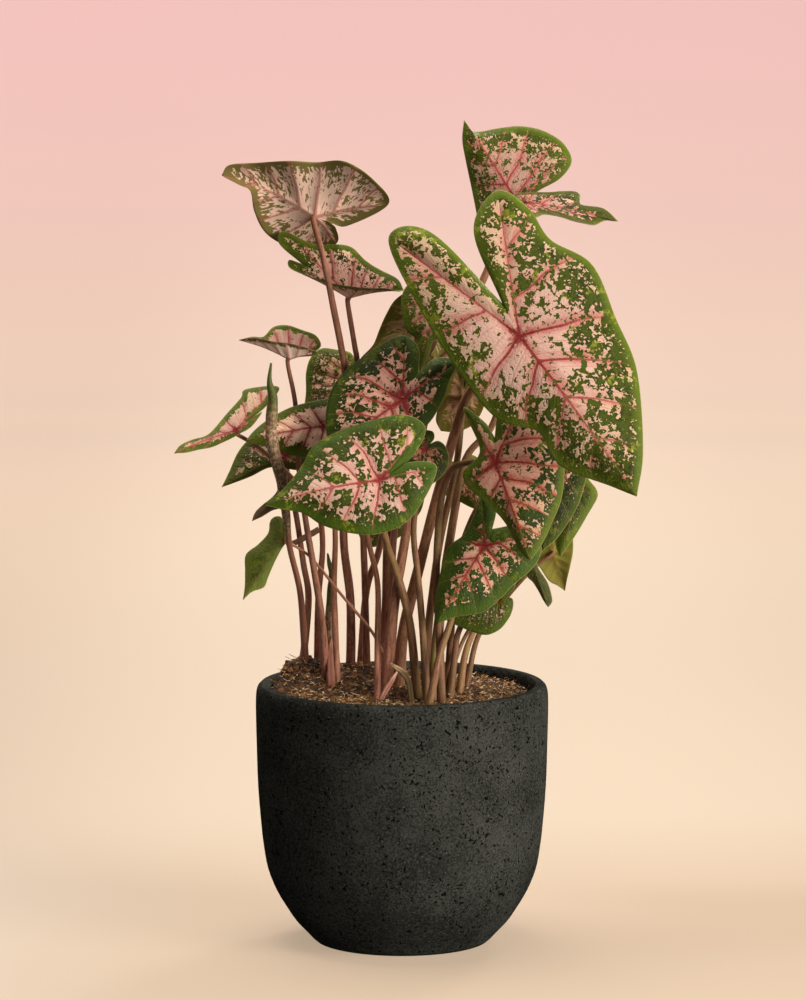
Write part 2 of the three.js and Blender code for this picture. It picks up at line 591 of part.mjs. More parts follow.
const group = new THREE.Group();
group.name = "caladium";
function addMesh(name, geometry, material) {
  const mesh = new THREE.Mesh(geometry, material());
  mesh.name = name;
  group.add(mesh);
}

const lines = []; // every rod that stands in the soil
for (const leaf of leaves) {
  const sheet = bladeSheet(leaf);
  if (!leaf.stalk) {
    addMesh(leaf.name, makeBlade(sheet), witheredPaint);
    continue;
  }
  addMesh(leaf.name + "_blade", makeBlade(sheet), bladePaint);
  const points = stalkLine(leaf, sheet);
  const [base, top] = leaf.stalkRadii;
  const radii = points.map((_, i) => THREE.MathUtils.lerp(base, top, i / (points.length - 1)));
  lines.push({ points, radii, sides: stalkSides });
  addMesh(leaf.name + "_stalk", rod(points, radii, stalkSides), stalkPaint);
}
for (const { name, line, radii } of shoots) {
  const points = rooted(line.map(vector));
  const shoot = { points, radii: [radii[0], ...radii], sides: rolledSides };
  lines.push(shoot);
  addMesh(name, rod(points, shoot.radii, rolledSides), name === "sprout" ? sproutPaint : rolledPaint);
}
addMesh("pot", makePot(), potPaint);
addMesh("soil", makeSoil(lines), soilPaint);

export default group;
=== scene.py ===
import math
import random

import bmesh
import bpy
import numpy as np
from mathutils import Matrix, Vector, noise


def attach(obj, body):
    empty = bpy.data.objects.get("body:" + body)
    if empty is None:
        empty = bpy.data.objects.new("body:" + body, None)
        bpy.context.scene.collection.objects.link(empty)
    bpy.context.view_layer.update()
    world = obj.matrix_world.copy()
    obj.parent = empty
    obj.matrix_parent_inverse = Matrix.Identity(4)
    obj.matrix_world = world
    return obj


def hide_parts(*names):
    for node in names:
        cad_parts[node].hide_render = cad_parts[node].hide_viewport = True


# A caladium in a round charcoal pot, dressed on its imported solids. Sizes in the dictionaries of the
# pieces are in mm; the camera and the studio are in metres.
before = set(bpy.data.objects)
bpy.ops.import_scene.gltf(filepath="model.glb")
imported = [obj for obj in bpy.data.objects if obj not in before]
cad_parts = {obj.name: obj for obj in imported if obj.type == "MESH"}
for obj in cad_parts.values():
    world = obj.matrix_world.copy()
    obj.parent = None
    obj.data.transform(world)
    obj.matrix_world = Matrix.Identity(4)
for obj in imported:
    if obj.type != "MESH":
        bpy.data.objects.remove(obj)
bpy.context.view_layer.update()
bpy.ops.object.select_all(action="DESELECT")
mm = 0.001
black, white = (0, 0, 0, 1), (1, 1, 1, 1)


# Small helpers for shader nodes.
def tint(color):  # a screen colour, 0 to 255, as the shader's linear one
    shares = [c / 255 for c in color]
    return (*(c / 12.92 if c <= 0.04045 else ((c + 0.055) / 1.055) ** 2.4 for c in shares), 1)


def darker(color, share):
    return tint(c * share for c in color)


def newMaterial(name, roughness, specular=0.5):
    material = bpy.data.materials.new(name)
    material.use_nodes = True
    shader = material.node_tree.nodes["Principled BSDF"]
    shader.inputs["Roughness"].default_value = roughness
    shader.inputs["Specular IOR Level"].default_value = specular
    return material, material.node_tree, shader


def addNode(tree, kind, inputs=(), **settings):
    node = tree.nodes.new(kind)
    for key, value in settings.items():
        setattr(node, key, value)
    for key, value in dict(inputs).items():
        if isinstance(value, bpy.types.NodeSocket):
            tree.links.new(value, node.inputs[key])
        else:
            node.inputs[key].default_value = value
    return node


def maths(tree, operation, *values):
    return addNode(tree, "ShaderNodeMath", enumerate(values), operation=operation).outputs[0]


def times(tree, first, second):
    return maths(tree, "MULTIPLY", first, second)


def inverse(tree, value):
    return maths(tree, "SUBTRACT", 1.0, value)


def total(tree, *values):
    result = values[0]
    for value in values[1:]:
        result = maths(tree, "ADD", result, value)
    return result


def blendStep(tree, value, low, high):  # 0 below low, 1 above high, smooth between
    inputs = {"Value": value, "From Min": low, "From Max": high}
    return addNode(tree, "ShaderNodeMapRange", inputs, interpolation_type="SMOOTHSTEP").outputs[0]


def fadeStep(tree, value, low, high):  # 1 below low, 0 above high
    return inverse(tree, blendStep(tree, value, low, high))


def mixColor(tree, factor, first, second, mode="MIX"):
    inputs = {0: factor, 6: first, 7: second}
    return addNode(tree, "ShaderNodeMix", inputs, data_type="RGBA", blend_type=mode).outputs[2]


def layered(tree, color, where, share, tone, mode="MIX"):  # the colour with a tone laid over it
    return mixColor(tree, times(tree, where, share), color, tone, mode)


def objectPlace(tree):
    return addNode(tree, "ShaderNodeTexCoord").outputs["Object"]


def heightOf(tree):
    return addNode(tree, "ShaderNodeSeparateXYZ", {0: objectPlace(tree)}).outputs["Z"]


def flowMap(tree):  # the piece's own UV map
    return addNode(tree, "ShaderNodeUVMap", uv_map="flow").outputs[0]


def readAttribute(tree, name):
    return addNode(tree, "ShaderNodeAttribute", attribute_name=name).outputs["Fac"]


def stretched(tree, vector, scale):
    inputs = {0: vector, 1: scale}
    return addNode(tree, "ShaderNodeVectorMath", inputs, operation="MULTIPLY").outputs[0]


def noiseValue(tree, vector, scale, seed, detail=3.0, roughness=0.6, distortion=0.0):
    inputs = {"Vector": vector, "Scale": scale, "W": seed, "Detail": detail,
              "Roughness": roughness, "Distortion": distortion}
    return addNode(tree, "ShaderNodeTexNoise", inputs, noise_dimensions="4D").outputs[0]


def around(tree, value, strength):  # a noise value, moved to lie around 0 and made stronger
    return times(tree, maths(tree, "SUBTRACT", value, 0.5), strength)


def addBump(tree, shader, height, distance, strength):
    inputs = {"Height": height, "Distance": distance, "Strength": strength}
    bump = addNode(tree, "ShaderNodeBump", inputs)
    tree.links.new(bump.outputs[0], shader.inputs["Normal"])


def paintWith(tree, shader, color):
    tree.links.new(color, shader.inputs["Base Color"])


# Helpers for the pieces.
def meshObject(name, points, faces, materials):
    mesh = bpy.data.meshes.new(name)
    mesh.from_pydata([tuple(p) for p in points], [], faces)
    for material in materials:
        mesh.materials.append(material)
    piece = bpy.data.objects.new(name, mesh)
    bpy.context.scene.collection.objects.link(piece)
    return piece


def makeActive(piece):
    bpy.ops.object.select_all(action="DESELECT")
    piece.select_set(True)
    bpy.context.view_layer.objects.active = piece


def dress(piece, slot, *nodes):
    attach(piece, "root")
    if nodes:
        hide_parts(*nodes)


def alongSpline(points, places):  # a smooth line through the points; places run from 0 to len - 1
    points = np.asarray(points, float)
    padded = np.vstack([2 * points[0] - points[1], points, 2 * points[-1] - points[-2]])
    places = np.asarray(places, float)
    index = np.clip(np.floor(places).astype(int), 0, len(points) - 2)
    w = (places - index)[:, None]
    p0, p1, p2, p3 = (padded[index + k] for k in range(4))
    curve = 2 * p1 + (p2 - p0) * w + (2 * p0 - 5 * p1 + 4 * p2 - p3) * w**2
    return 0.5 * (curve + (3 * p1 - p0 - 3 * p2 + p3) * w**3)


def finely(line, parts):  # places along a line, so many parts to a stretch, and the points there
    places = np.linspace(0, len(line) - 1, parts * (len(line) - 1) + 1)
    return places, alongSpline(line, places)


def tubeMesh(name, centres, radii, sides, material, ripple):
    # rings of points round a line, closed at both ends; UV: u round it, v along it in decimetres
    centres = np.asarray(centres, float)
    tangents = np.gradient(centres, axis=0)
    tangents /= np.linalg.norm(tangents, axis=1)[:, None]
    side = np.array([0.0, 1.0, 0.0])
    travel = np.concatenate([[0], np.cumsum(np.linalg.norm(np.diff(centres, axis=0), axis=1))])
    points = []
    for k, (centre, along) in enumerate(zip(centres, tangents)):
        side = side - along * side.dot(along)
        side /= np.linalg.norm(side)
        across = np.cross(along, side)
        for i in range(sides):
            turn = 2 * math.pi * i / sides
            radius = radii[k] * ripple(k, turn)
            points.append(centre + radius * (side * math.cos(turn) + across * math.sin(turn)))
    faces, corners = [], []
    for k in range(len(centres) - 1):
        for i in range(sides):
            j = (i + 1) % sides
            faces.append((k * sides + i, k * sides + j, (k + 1) * sides + j, (k + 1) * sides + i))
            low, high = travel[k] * 10, travel[k + 1] * 10
            corners += [(i / sides, low), ((i + 1) / sides, low),
                        ((i + 1) / sides, high), (i / sides, high)]
    last = (len(centres) - 1) * sides
    faces += [tuple(reversed(range(sides))), tuple(range(last, last + sides))]
    corners += [(0.5, 0)] * sides + [(0.5, travel[-1] * 10)] * sides
    piece = meshObject(name, points, faces, [material])
    layer = piece.data.uv_layers.new(name="flow")
    layer.data.foreach_set("uv", np.array(corners, np.float32).ravel())
    piece.data.polygons.foreach_set("use_smooth", [True] * len(faces))
    return piece


# The camera, and a plain round paper room with soft lamps.
viewpoint = dict(place=(0.0006, -2.968, 0.646), pitchDown=7.15, lens=175.5)
camera = bpy.data.objects.new("camera", bpy.data.cameras.new("camera"))
bpy.context.scene.collection.objects.link(camera)
camera.location = viewpoint["place"]
camera.rotation_euler = (math.radians(90 - viewpoint["pitchDown"]), 0, 0)
camera.data.lens = viewpoint["lens"]
camera.data.clip_end = 50
bpy.context.scene.camera = camera

studio = dict(
    world=(255, 248, 244), worldStrength=0.13,
    floor=(230, 203, 173), wall=(240, 217, 189), top=(234, 187, 181), floorRough=0.9,
    sideShadeTone=(150, 110, 90), sideShadeShare=0.24, rightShadePart=0.45,  # painted shade: the paper darker at both sides, less at the right
    frontLightTone=(255, 243, 222), frontLightShare=0.55,  # painted light: a lighter pool on the floor in front at the left
    shadowPatchTone=(150, 100, 60), shadowPatchShare=0.14,  # painted shadow: a darker patch on the floor beside the pot at the right
    cloud=0.06,  # the paper is a little cloudy
    glow=0.75, nearGlow=0.55, paint=0.29,  # the paper glows more than it is lit, so its shadows are faint
    bendTone=(255, 222, 195), bendShare=0.06,  # a little more light from the bend of the paper
    flat=3.2, curve=0.8, high=3.6, sides=96,  # the round room: flat floor, bend up into its wall, height
    blush=(0.0, 0.52), perDistance=0.078, perHeight=0.6,  # where the cream turns to pink
    # from where to where each tone sets in, in metres from the pot
    behind=(0.12, 0.45), left=(-0.42, -0.08), right=(0.15, 0.45), frontLightReach=(0.7, 1.5),
    shadowPatchAcross=(0.06, 0.2), shadowPatchFront=(-0.1, 0.03), shadowPatchBack=(0.1, 0.2),
    nearReach=(0.9, 2.8), bendFront=(2.75, 3.1), bendBack=(3.35, 3.75),
    lights=[  # place, what it points at, width, power in watts, colour, and spread in degrees
        ((2.75, -1.75, 1.1), (0, 0, 0.25), 1.7, 154, (255, 251, 247)),
        ((-0.25, 0.4, 2.6), (0, 0.2, 0), 1.6, 78, (255, 250, 246)),
        ((-0.55, 1.6, 2.0), (-0.1, 3.9, 0.2), 1.4, 38, (255, 249, 246)),
        ((1.6, -2.6, 0.5), (0, 0, 0.35), 1.2, 36, (255, 248, 242)),
        ((1.3, 2.5, 1.7), (0, 0, 0.36), 0.8, 2.2, (255, 248, 242), 34),
    ],
)


def addLights(scene):
    for number, (place, target, width, power, color, *spread) in enumerate(studio["lights"]):
        lamp = bpy.data.lights.new(f"softbox_{number}", "AREA")
        lamp.size, lamp.energy = width, power
        lamp.color = tint(color)[:3]
        lamp.spread = math.radians(*(spread or [180]))
        holder = bpy.data.objects.new(lamp.name, lamp)
        scene.collection.objects.link(holder)
        holder.visible_camera = False
        holder.location = place
        holder.rotation_euler = (Vector(target) - Vector(place)).to_track_quat("-Z", "Y").to_euler()


def paperMaterial():
    material, tree, shader = newMaterial("pale_paper", studio["floorRough"], specular=0.1)
    place = objectPlace(tree)
    parts = addNode(tree, "ShaderNodeSeparateXYZ", {0: place}).outputs
    x, y, z = parts["X"], parts["Y"], parts["Z"]
    far = addNode(tree, "ShaderNodeVectorMath", {0: place}, operation="LENGTH").outputs["Value"]
    behind = blendStep(tree, y, *studio["behind"])
    color = mixColor(tree, behind, tint(studio["floor"]), tint(studio["wall"]))
    distance = times(tree, maths(tree, "MAXIMUM", 0.0, total(tree, far, -1.0)), studio["perDistance"])
    rise = total(tree, distance, times(tree, z, studio["perHeight"]))
    blush = blendStep(tree, rise, *studio["blush"])
    color = mixColor(tree, blush, color, tint(studio["top"]))
    left = fadeStep(tree, x, *studio["left"])
    right = times(tree, blendStep(tree, x, *studio["right"]), studio["rightShadePart"])
    # painted shade: the paper is darkened towards both sides, less at the right
    side = times(tree, maths(tree, "MAXIMUM", left, right), inverse(tree, blush))
    color = layered(tree, color, side, studio["sideShadeShare"], tint(studio["sideShadeTone"]))
    # painted light: lightens the floor in front at the left
    front = times(tree, left, inverse(tree, behind))
    front = times(tree, front, fadeStep(tree, far, *studio["frontLightReach"]))
    color = layered(tree, color, front, studio["frontLightShare"], tint(studio["frontLightTone"]))
    # painted shadow on the floor beside the pot at the right
    patch = times(tree, blendStep(tree, x, *studio["shadowPatchAcross"]), blendStep(tree, y, *studio["shadowPatchFront"]))
    patch = times(tree, patch, fadeStep(tree, y, *studio["shadowPatchBack"]))
    color = layered(tree, color, patch, studio["shadowPatchShare"], tint(studio["shadowPatchTone"]))
    color = layered(tree, color, noiseValue(tree, place, 1.3, 2.0, 2), studio["cloud"], white)
    paintWith(tree, shader, mixColor(tree, studio["paint"], black, color))
    dimmed = 1 - studio["nearGlow"] / studio["glow"]
    near = times(tree, fadeStep(tree, far, *studio["nearReach"]), dimmed)
    bend = times(tree, blendStep(tree, far, *studio["bendFront"]), fadeStep(tree, far, *studio["bendBack"]))
    glow = mixColor(tree, near, color, black)
    glow = layered(tree, glow, bend, studio["bendShare"], tint(studio["bendTone"]), "ADD")
    tree.links.new(glow, shader.inputs["Emission Color"])
    shader.inputs["Emission Strength"].default_value = studio["glow"]
    return material


def makeStudio():
    scene = bpy.context.scene
    scene.view_settings.view_transform = "Standard"
    world = bpy.data.worlds.new("studio")
    world.use_nodes = True
    sky = world.node_tree.nodes["Background"]
    sky.inputs["Color"].default_value = tint(studio["world"])
    sky.inputs["Strength"].default_value = studio["worldStrength"]
    scene.world = world
    addLights(scene)
    # the paper lies flat and curves up into a wall all round
    flat, curve, sides = studio["flat"], studio["curve"], studio["sides"]
    bends = np.linspace(0.1, math.pi / 2, 14)
    profile = [(flat, 0), *((flat + curve * math.sin(a), curve - curve * math.cos(a)) for a in bends)]
    profile += [(flat + curve, studio["high"])]
    turns = [2 * math.pi * i / sides for i in range(sides)]
    points = [(reach * math.cos(a), reach * math.sin(a), z) for reach, z in profile for a in turns]
    faces = [tuple(range(sides))]
    for low in range(0, (len(profile) - 1) * sides, sides):
        high = low + sides
        faces += [(low + i, high + i, high + (i + 1) % sides, low + (i + 1) % sides) for i in range(sides)]
    floor = meshObject("floor", points, faces, [paperMaterial()])
    floor.data.polygons.foreach_set("use_smooth", [True] * len(faces))
    floor.visible_diffuse = False  # no light bounces off the paper, so the pot's left stays dark


makeStudio()
print("studio ready")

pot = dict(
    floor=12, segments=144,
    outside=[  # radius and height up the outer wall, then down the inner one
        (54, 0), (60.4, 7), (66, 13), (70.8, 20), (77.9, 32), (83, 45), (85.4, 58), (86.9, 71), (88.9, 96),
        (89.7, 122), (90.2, 148), (89.4, 157), (87.2, 160),
    ],
    inside=[
        (82.6, 160), (81.2, 157), (80.8, 148), (80.6, 122), (79.4, 96), (77.2, 71), (73.4, 50), (66, 32),
        (54, 19), (42, 13),
    ],
    cloudScale=28, grainScale=700, sandScale=780, crowdScale=60,  # larger numbers make finer marks
    pits=((400, 0.655, 0.685, 5.0), (740, 0.65, 0.7, 9.0)),  # scale, where they start and are full, seed
    dark=(34, 35, 31), light=(63, 63, 57), pitShade=(6, 6, 5), fleck=(108, 108, 102),
)


def potMaterial():
    material, tree, shader = newMaterial("charcoal_stone", 0.9, specular=0.0)
    place = objectPlace(tree)
    cloud = noiseValue(tree, place, pot["cloudScale"], 1.0, 4, 0.6)
    grain = noiseValue(tree, place, pot["grainScale"], 3.0, 3, 0.8)
    color = mixColor(tree, blendStep(tree, total(tree, cloud, around(tree, grain, 2.2)), 0.25, 0.8),
                     tint(pot["dark"]), tint(pot["light"]))
    pits = []  # of uneven shape and size, closer together in some places
    for scale, low, high, seed in pot["pits"]:
        hollow = noiseValue(tree, place, scale, seed, 1.0, 0.35, 0.1)
        crowd = around(tree, noiseValue(tree, place, pot["crowdScale"], seed + 3, 2), 0.22)
        pits.append(blendStep(tree, total(tree, hollow, crowd), low, high))
    pitted = maths(tree, "MAXIMUM", *pits)
    # painted shade: the pits are laid on near-black, dark pores with the shade in their hollows painted in
    color = layered(tree, color, pitted, 0.92, tint(pot["pitShade"]))
    sand = noiseValue(tree, place, pot["sandScale"], 14.0, 1.5, 0.5)
    color = layered(tree, color, blendStep(tree, sand, 0.66, 0.74), 0.6, tint(pot["fleck"]))
    paintWith(tree, shader, color)
    height = total(tree, times(tree, grain, 0.35), times(tree, pitted, -1.2))
    addBump(tree, shader, height, distance=0.0006, strength=0.8)
    return material


def makePot():
    outside = alongSpline(pot["outside"], np.linspace(0, len(pot["outside"]) - 1, 37))
    inside = alongSpline(pot["inside"], np.linspace(0, len(pot["inside"]) - 1, 28))
    profile = [(52.5, 0), (53.6, 0.15), *outside[1:].tolist(), *inside.tolist(), (20, pot["floor"])]
    radius, height = profile[0][0] * mm, 0.0
    bpy.ops.object.select_all(action="DESELECT")
    bpy.ops.mesh.primitive_circle_add(vertices=pot["segments"], radius=radius, fill_type="NGON")
    piece = bpy.context.object
    piece.name = "pot_shell"
    bpy.ops.object.mode_set(mode="EDIT")
    bpy.ops.mesh.select_all(action="SELECT")
    bpy.ops.mesh.flip_normals()  # the underside faces down
    for nextRadius, nextHeight in profile[1:]:
        grow = nextRadius * mm / radius
        bpy.ops.mesh.extrude_region_move(TRANSFORM_OT_translate={"value": (0, 0, nextHeight * mm - height)})
        bpy.ops.transform.resize(value=(grow, grow, 1), center_override=(0, 0, nextHeight * mm))
        radius, height = nextRadius * mm, nextHeight * mm
    bpy.ops.mesh.select_all(action="SELECT")
    bpy.ops.mesh.normals_make_consistent(inside=False)
    bpy.ops.object.mode_set(mode="OBJECT")
    piece.data.materials.clear()
    piece.data.materials.append(potMaterial())
    bpy.ops.object.shade_smooth_by_angle(angle=math.radians(40))
    dress(piece, "pot", "pot")


makePot()
print("pot ready")

soil = dict(
    level=152, shore=80.3, depth=12, segments=120, rings=44, lumps=0.9,
    heaps=[  # x, y, wide, deep, high
        (-22, 26, 38, 26, 14), (-60, 24, 22, 30, 6), (40, 30, 30, 30, 4), (-66, 32, 15, 22, 8),
    ],
    # loose bits: how many, size, thickness to size, shades, how far they tip over, and their sides
    crumbs=(3300, (0.35, 1.2), (0.5, 0.9), (0.1, 0.3, 0.45, 0.65), 0.5, 4),
    chips=(240, (0.9, 1.9), (0.2, 0.45), (0.15, 0.4, 0.6, 0.8), 0.6, 5),
    clods=(150, (1.2, 3.0), (0.5, 0.9), (0.1, 0.2, 0.4), 0.8, 6),
    perlite=(170, (0.5, 1.3), (0.6, 0.8), (1.3,), 0.6, 6),
    fibres=(5200, (1.8, 6.5), (0.16, 0.36), (0.2, 0.4, 0.6, 0.8, 1.1)),  # how many, length, radius, shades
    seed=11, grainScale=1500, patchScale=240,
    dark=(46, 29, 12), brown=(112, 74, 33), golden=(180, 130, 68), cream=(236, 212, 170),
)


def soilHeight(x, y):
    heaps = sum(high * math.exp(-(((x - hx) / wide) ** 2) - ((y - hy) / deep) ** 2)
                for hx, hy, wide, deep, high in soil["heaps"])
    lumps = 1.6 * noise.noise(Vector((x, y, 3)) / 9) + 0.9 * noise.noise(Vector((x, y, 8)) / 3.1)
    return soil["level"] + heaps + lumps * soil["lumps"]


def soilMaterial():
    material, tree, shader = newMaterial("coir_and_bark", 0.95)
    place = objectPlace(tree)
    shade = readAttribute(tree, "shade")
    grain = noiseValue(tree, place, soil["grainScale"], 1.0, 3, 0.7)
    patches = noiseValue(tree, place, soil["patchScale"], 4.0, 3)
    value = total(tree, shade, around(tree, grain, 0.5), around(tree, patches, 0.35))
    color = mixColor(tree, blendStep(tree, value, 0.1, 0.5), tint(soil["dark"]), tint(soil["brown"]))
    color = mixColor(tree, blendStep(tree, value, 0.5, 0.85), color, tint(soil["golden"]))
    color = mixColor(tree, blendStep(tree, value, 0.95, 1.2), color, tint(soil["cream"]))
    paintWith(tree, shader, color)
    addBump(tree, shader, grain, distance=0.0005, strength=0.7)
    return material


def setShade(piece, values):  # one value for each point of the mesh
    layer = piece.data.attributes.new("shade", "FLOAT", "POINT")
    layer.data.foreach_set("value", np.asarray(values, np.float32))


def makeSoil(material):
    bpy.ops.object.select_all(action="DESELECT")
    bottom = (soil["level"] - soil["depth"]) * mm
    bpy.ops.mesh.primitive_circle_add(vertices=soil["segments"], radius=soil["shore"] * mm,
                                      location=(0, 0, bottom), fill_type="NOTHING")
    piece = bpy.context.object
    piece.name = "soil_bed"
    bpy.ops.object.transform_apply(location=True, rotation=False, scale=False)
    bpy.ops.object.mode_set(mode="EDIT")
    bpy.ops.mesh.select_all(action="SELECT")
    bpy.ops.mesh.extrude_region_move(TRANSFORM_OT_translate={"value": (0, 0, soil["depth"] * mm)})
    for ring in range(soil["rings"], 0, -1):
        smaller = (ring - 1) / ring
        bpy.ops.mesh.extrude_region_move(TRANSFORM_OT_translate={"value": (0, 0, 0)})
        shrink = max(smaller, 1e-4)
        bpy.ops.transform.resize(value=(shrink, shrink, 1), center_override=(0, 0, 0))
    bpy.ops.mesh.select_all(action="SELECT")
    bpy.ops.mesh.remove_doubles(threshold=0.0002)
    bpy.ops.mesh.normals_make_consistent(inside=False)
    bpy.ops.object.mode_set(mode="OBJECT")
    for vertex in piece.data.vertices:
        x, y, z = vertex.co / mm
        if z > soil["level"] - soil["depth"] / 2:
            vertex.co.z = soilHeight(x, y) * mm
    bed = bmesh.new()  # close the bed below, inside the pot
    bed.from_mesh(piece.data)
    bmesh.ops.holes_fill(bed, edges=[edge for edge in bed.edges if edge.is_boundary])
    bmesh.ops.recalc_face_normals(bed, faces=bed.faces)
    bed.to_mesh(piece.data)
    bed.free()
    piece.data.materials.clear()
    piece.data.materials.append(material)
    setShade(piece, [0.18 + 0.5 * noise.noise(vertex.co * 180) for vertex in piece.data.vertices])
    piece.data.polygons.foreach_set("use_smooth", [True] * len(piece.data.polygons))
    dress(piece, "soil", "soil")


def makeSoilBits(material):
    rng = random.Random(soil["seed"])
    points, faces, shades = [], [], []

    def addBit(corners, bitFaces, shade):
        first = len(points)
        points.extend(corners)
        faces.extend(tuple(first + k for k in face) for face in bitFaces)
        shades.extend([shade] * len(corners))

    def scatter():
        turn, reach = rng.uniform(0, 2 * math.pi), (soil["shore"] - 1.5) * math.sqrt(rng.random())
        x, y = reach * math.cos(turn), reach * math.sin(turn)
        return Vector((x, y, soilHeight(x, y)))

    def onHeap():  # somewhere on the steep heap beside the wall
        x, y, wide, deep, _ = soil["heaps"][-1]
        while True:
            x1, y1 = rng.gauss(x, wide * 0.6), rng.gauss(y, deep * 0.6)
            if math.hypot(x1, y1) < soil["shore"] - 2.5:
                return Vector((x1, y1, soilHeight(x1, y1)))

    def turned(tip):
        return Vector((rng.gauss(0, tip), rng.gauss(0, tip), 1)).to_track_quat("Z", "Y")

    def addLump(size, tall, shade, place, tip, sides):
        facing = turned(tip)
        start = rng.uniform(0, 2 * math.pi)
        ring = []
        for level in (-0.5, 0.5):
            for i in range(sides):
                a = start + 2 * math.pi * i / sides
                reach = size * rng.uniform(0.72, 1.1)
                ring.append((reach * math.cos(a), 0.72 * reach * math.sin(a), level * tall * size))
        corners = [(0, 0, -tall * size)] + ring + [(0, 0, tall * size)]
        lift = Vector((0, 0, rng.uniform(-0.1, 0.5) * size))
        corners = [(facing @ Vector(c) + place + lift) * mm for c in corners]
        bitFaces = []
        for i in range(sides):
            j = (i + 1) % sides
            bitFaces += [(0, 1 + j, 1 + i), (1 + i, 1 + j, 1 + sides + j, 1 + sides + i),
                         (1 + sides + i, 1 + sides + j, 1 + 2 * sides)]
        addBit(corners, bitFaces, shade)

    def addFibre(length, thick, shade):
        place = scatter() + Vector((0, 0, rng.uniform(0.2, 1.6)))
        heading, curl = rng.uniform(0, 2 * math.pi), rng.uniform(-3.2, 3.2)
        rise = rng.gauss(0, 0.3)
        steps, corners = 4, []
        for k in range(steps):
            heading += curl / steps
            place = place + Vector((math.cos(heading), math.sin(heading), rise)) * (length / steps)
            out = Vector((-math.sin(heading), math.cos(heading), 0))
            width = thick * (1 - 0.6 * abs(2 * k / (steps - 1) - 1))
            for i in range(3):
                a = 2 * math.pi * i / 3
                corners.append((place + width * (out * math.cos(a) + Vector((0, 0, math.sin(a))))) * mm)
        bitFaces = [(2, 1, 0), tuple(3 * (steps - 1) + i for i in range(3))]
        for k in range(steps - 1):
            bitFaces += [(3 * k + i, 3 * k + (i + 1) % 3, 3 * k + 3 + (i + 1) % 3, 3 * k + 3 + i)
                         for i in range(3)]
        addBit(corners, bitFaces, shade)

    def addLumps(kind, spot):
        count, sizes, talls, kindShades, tip, sides = soil[kind]
        for _ in range(count):
            size, tall = rng.uniform(*sizes), rng.uniform(*talls)
            shade = rng.choice(kindShades) if len(kindShades) > 1 else kindShades[0]
            addLump(size, tall, shade, spot(), tip, sides)

    addLumps("crumbs", scatter)
    addLumps("chips", scatter)
    addLumps("clods", onHeap)
    count, lengths, widths, fibreShades = soil["fibres"]
    for _ in range(count):
        addFibre(rng.uniform(*lengths), rng.uniform(*widths), rng.choice(fibreShades))
    addLumps("perlite", scatter)
    piece = meshObject("soil_bits", points, faces, [material])
    setShade(piece, shades)
    makeActive(piece)
    bpy.ops.object.mode_set(mode="EDIT")
    bpy.ops.mesh.select_all(action="SELECT")
    bpy.ops.mesh.normals_make_consistent(inside=False)
    bpy.ops.object.mode_set(mode="OBJECT")
    dress(piece, "soil")


soilPaint = soilMaterial()
makeSoil(soilPaint)
makeSoilBits(soilPaint)
print("soil ready")

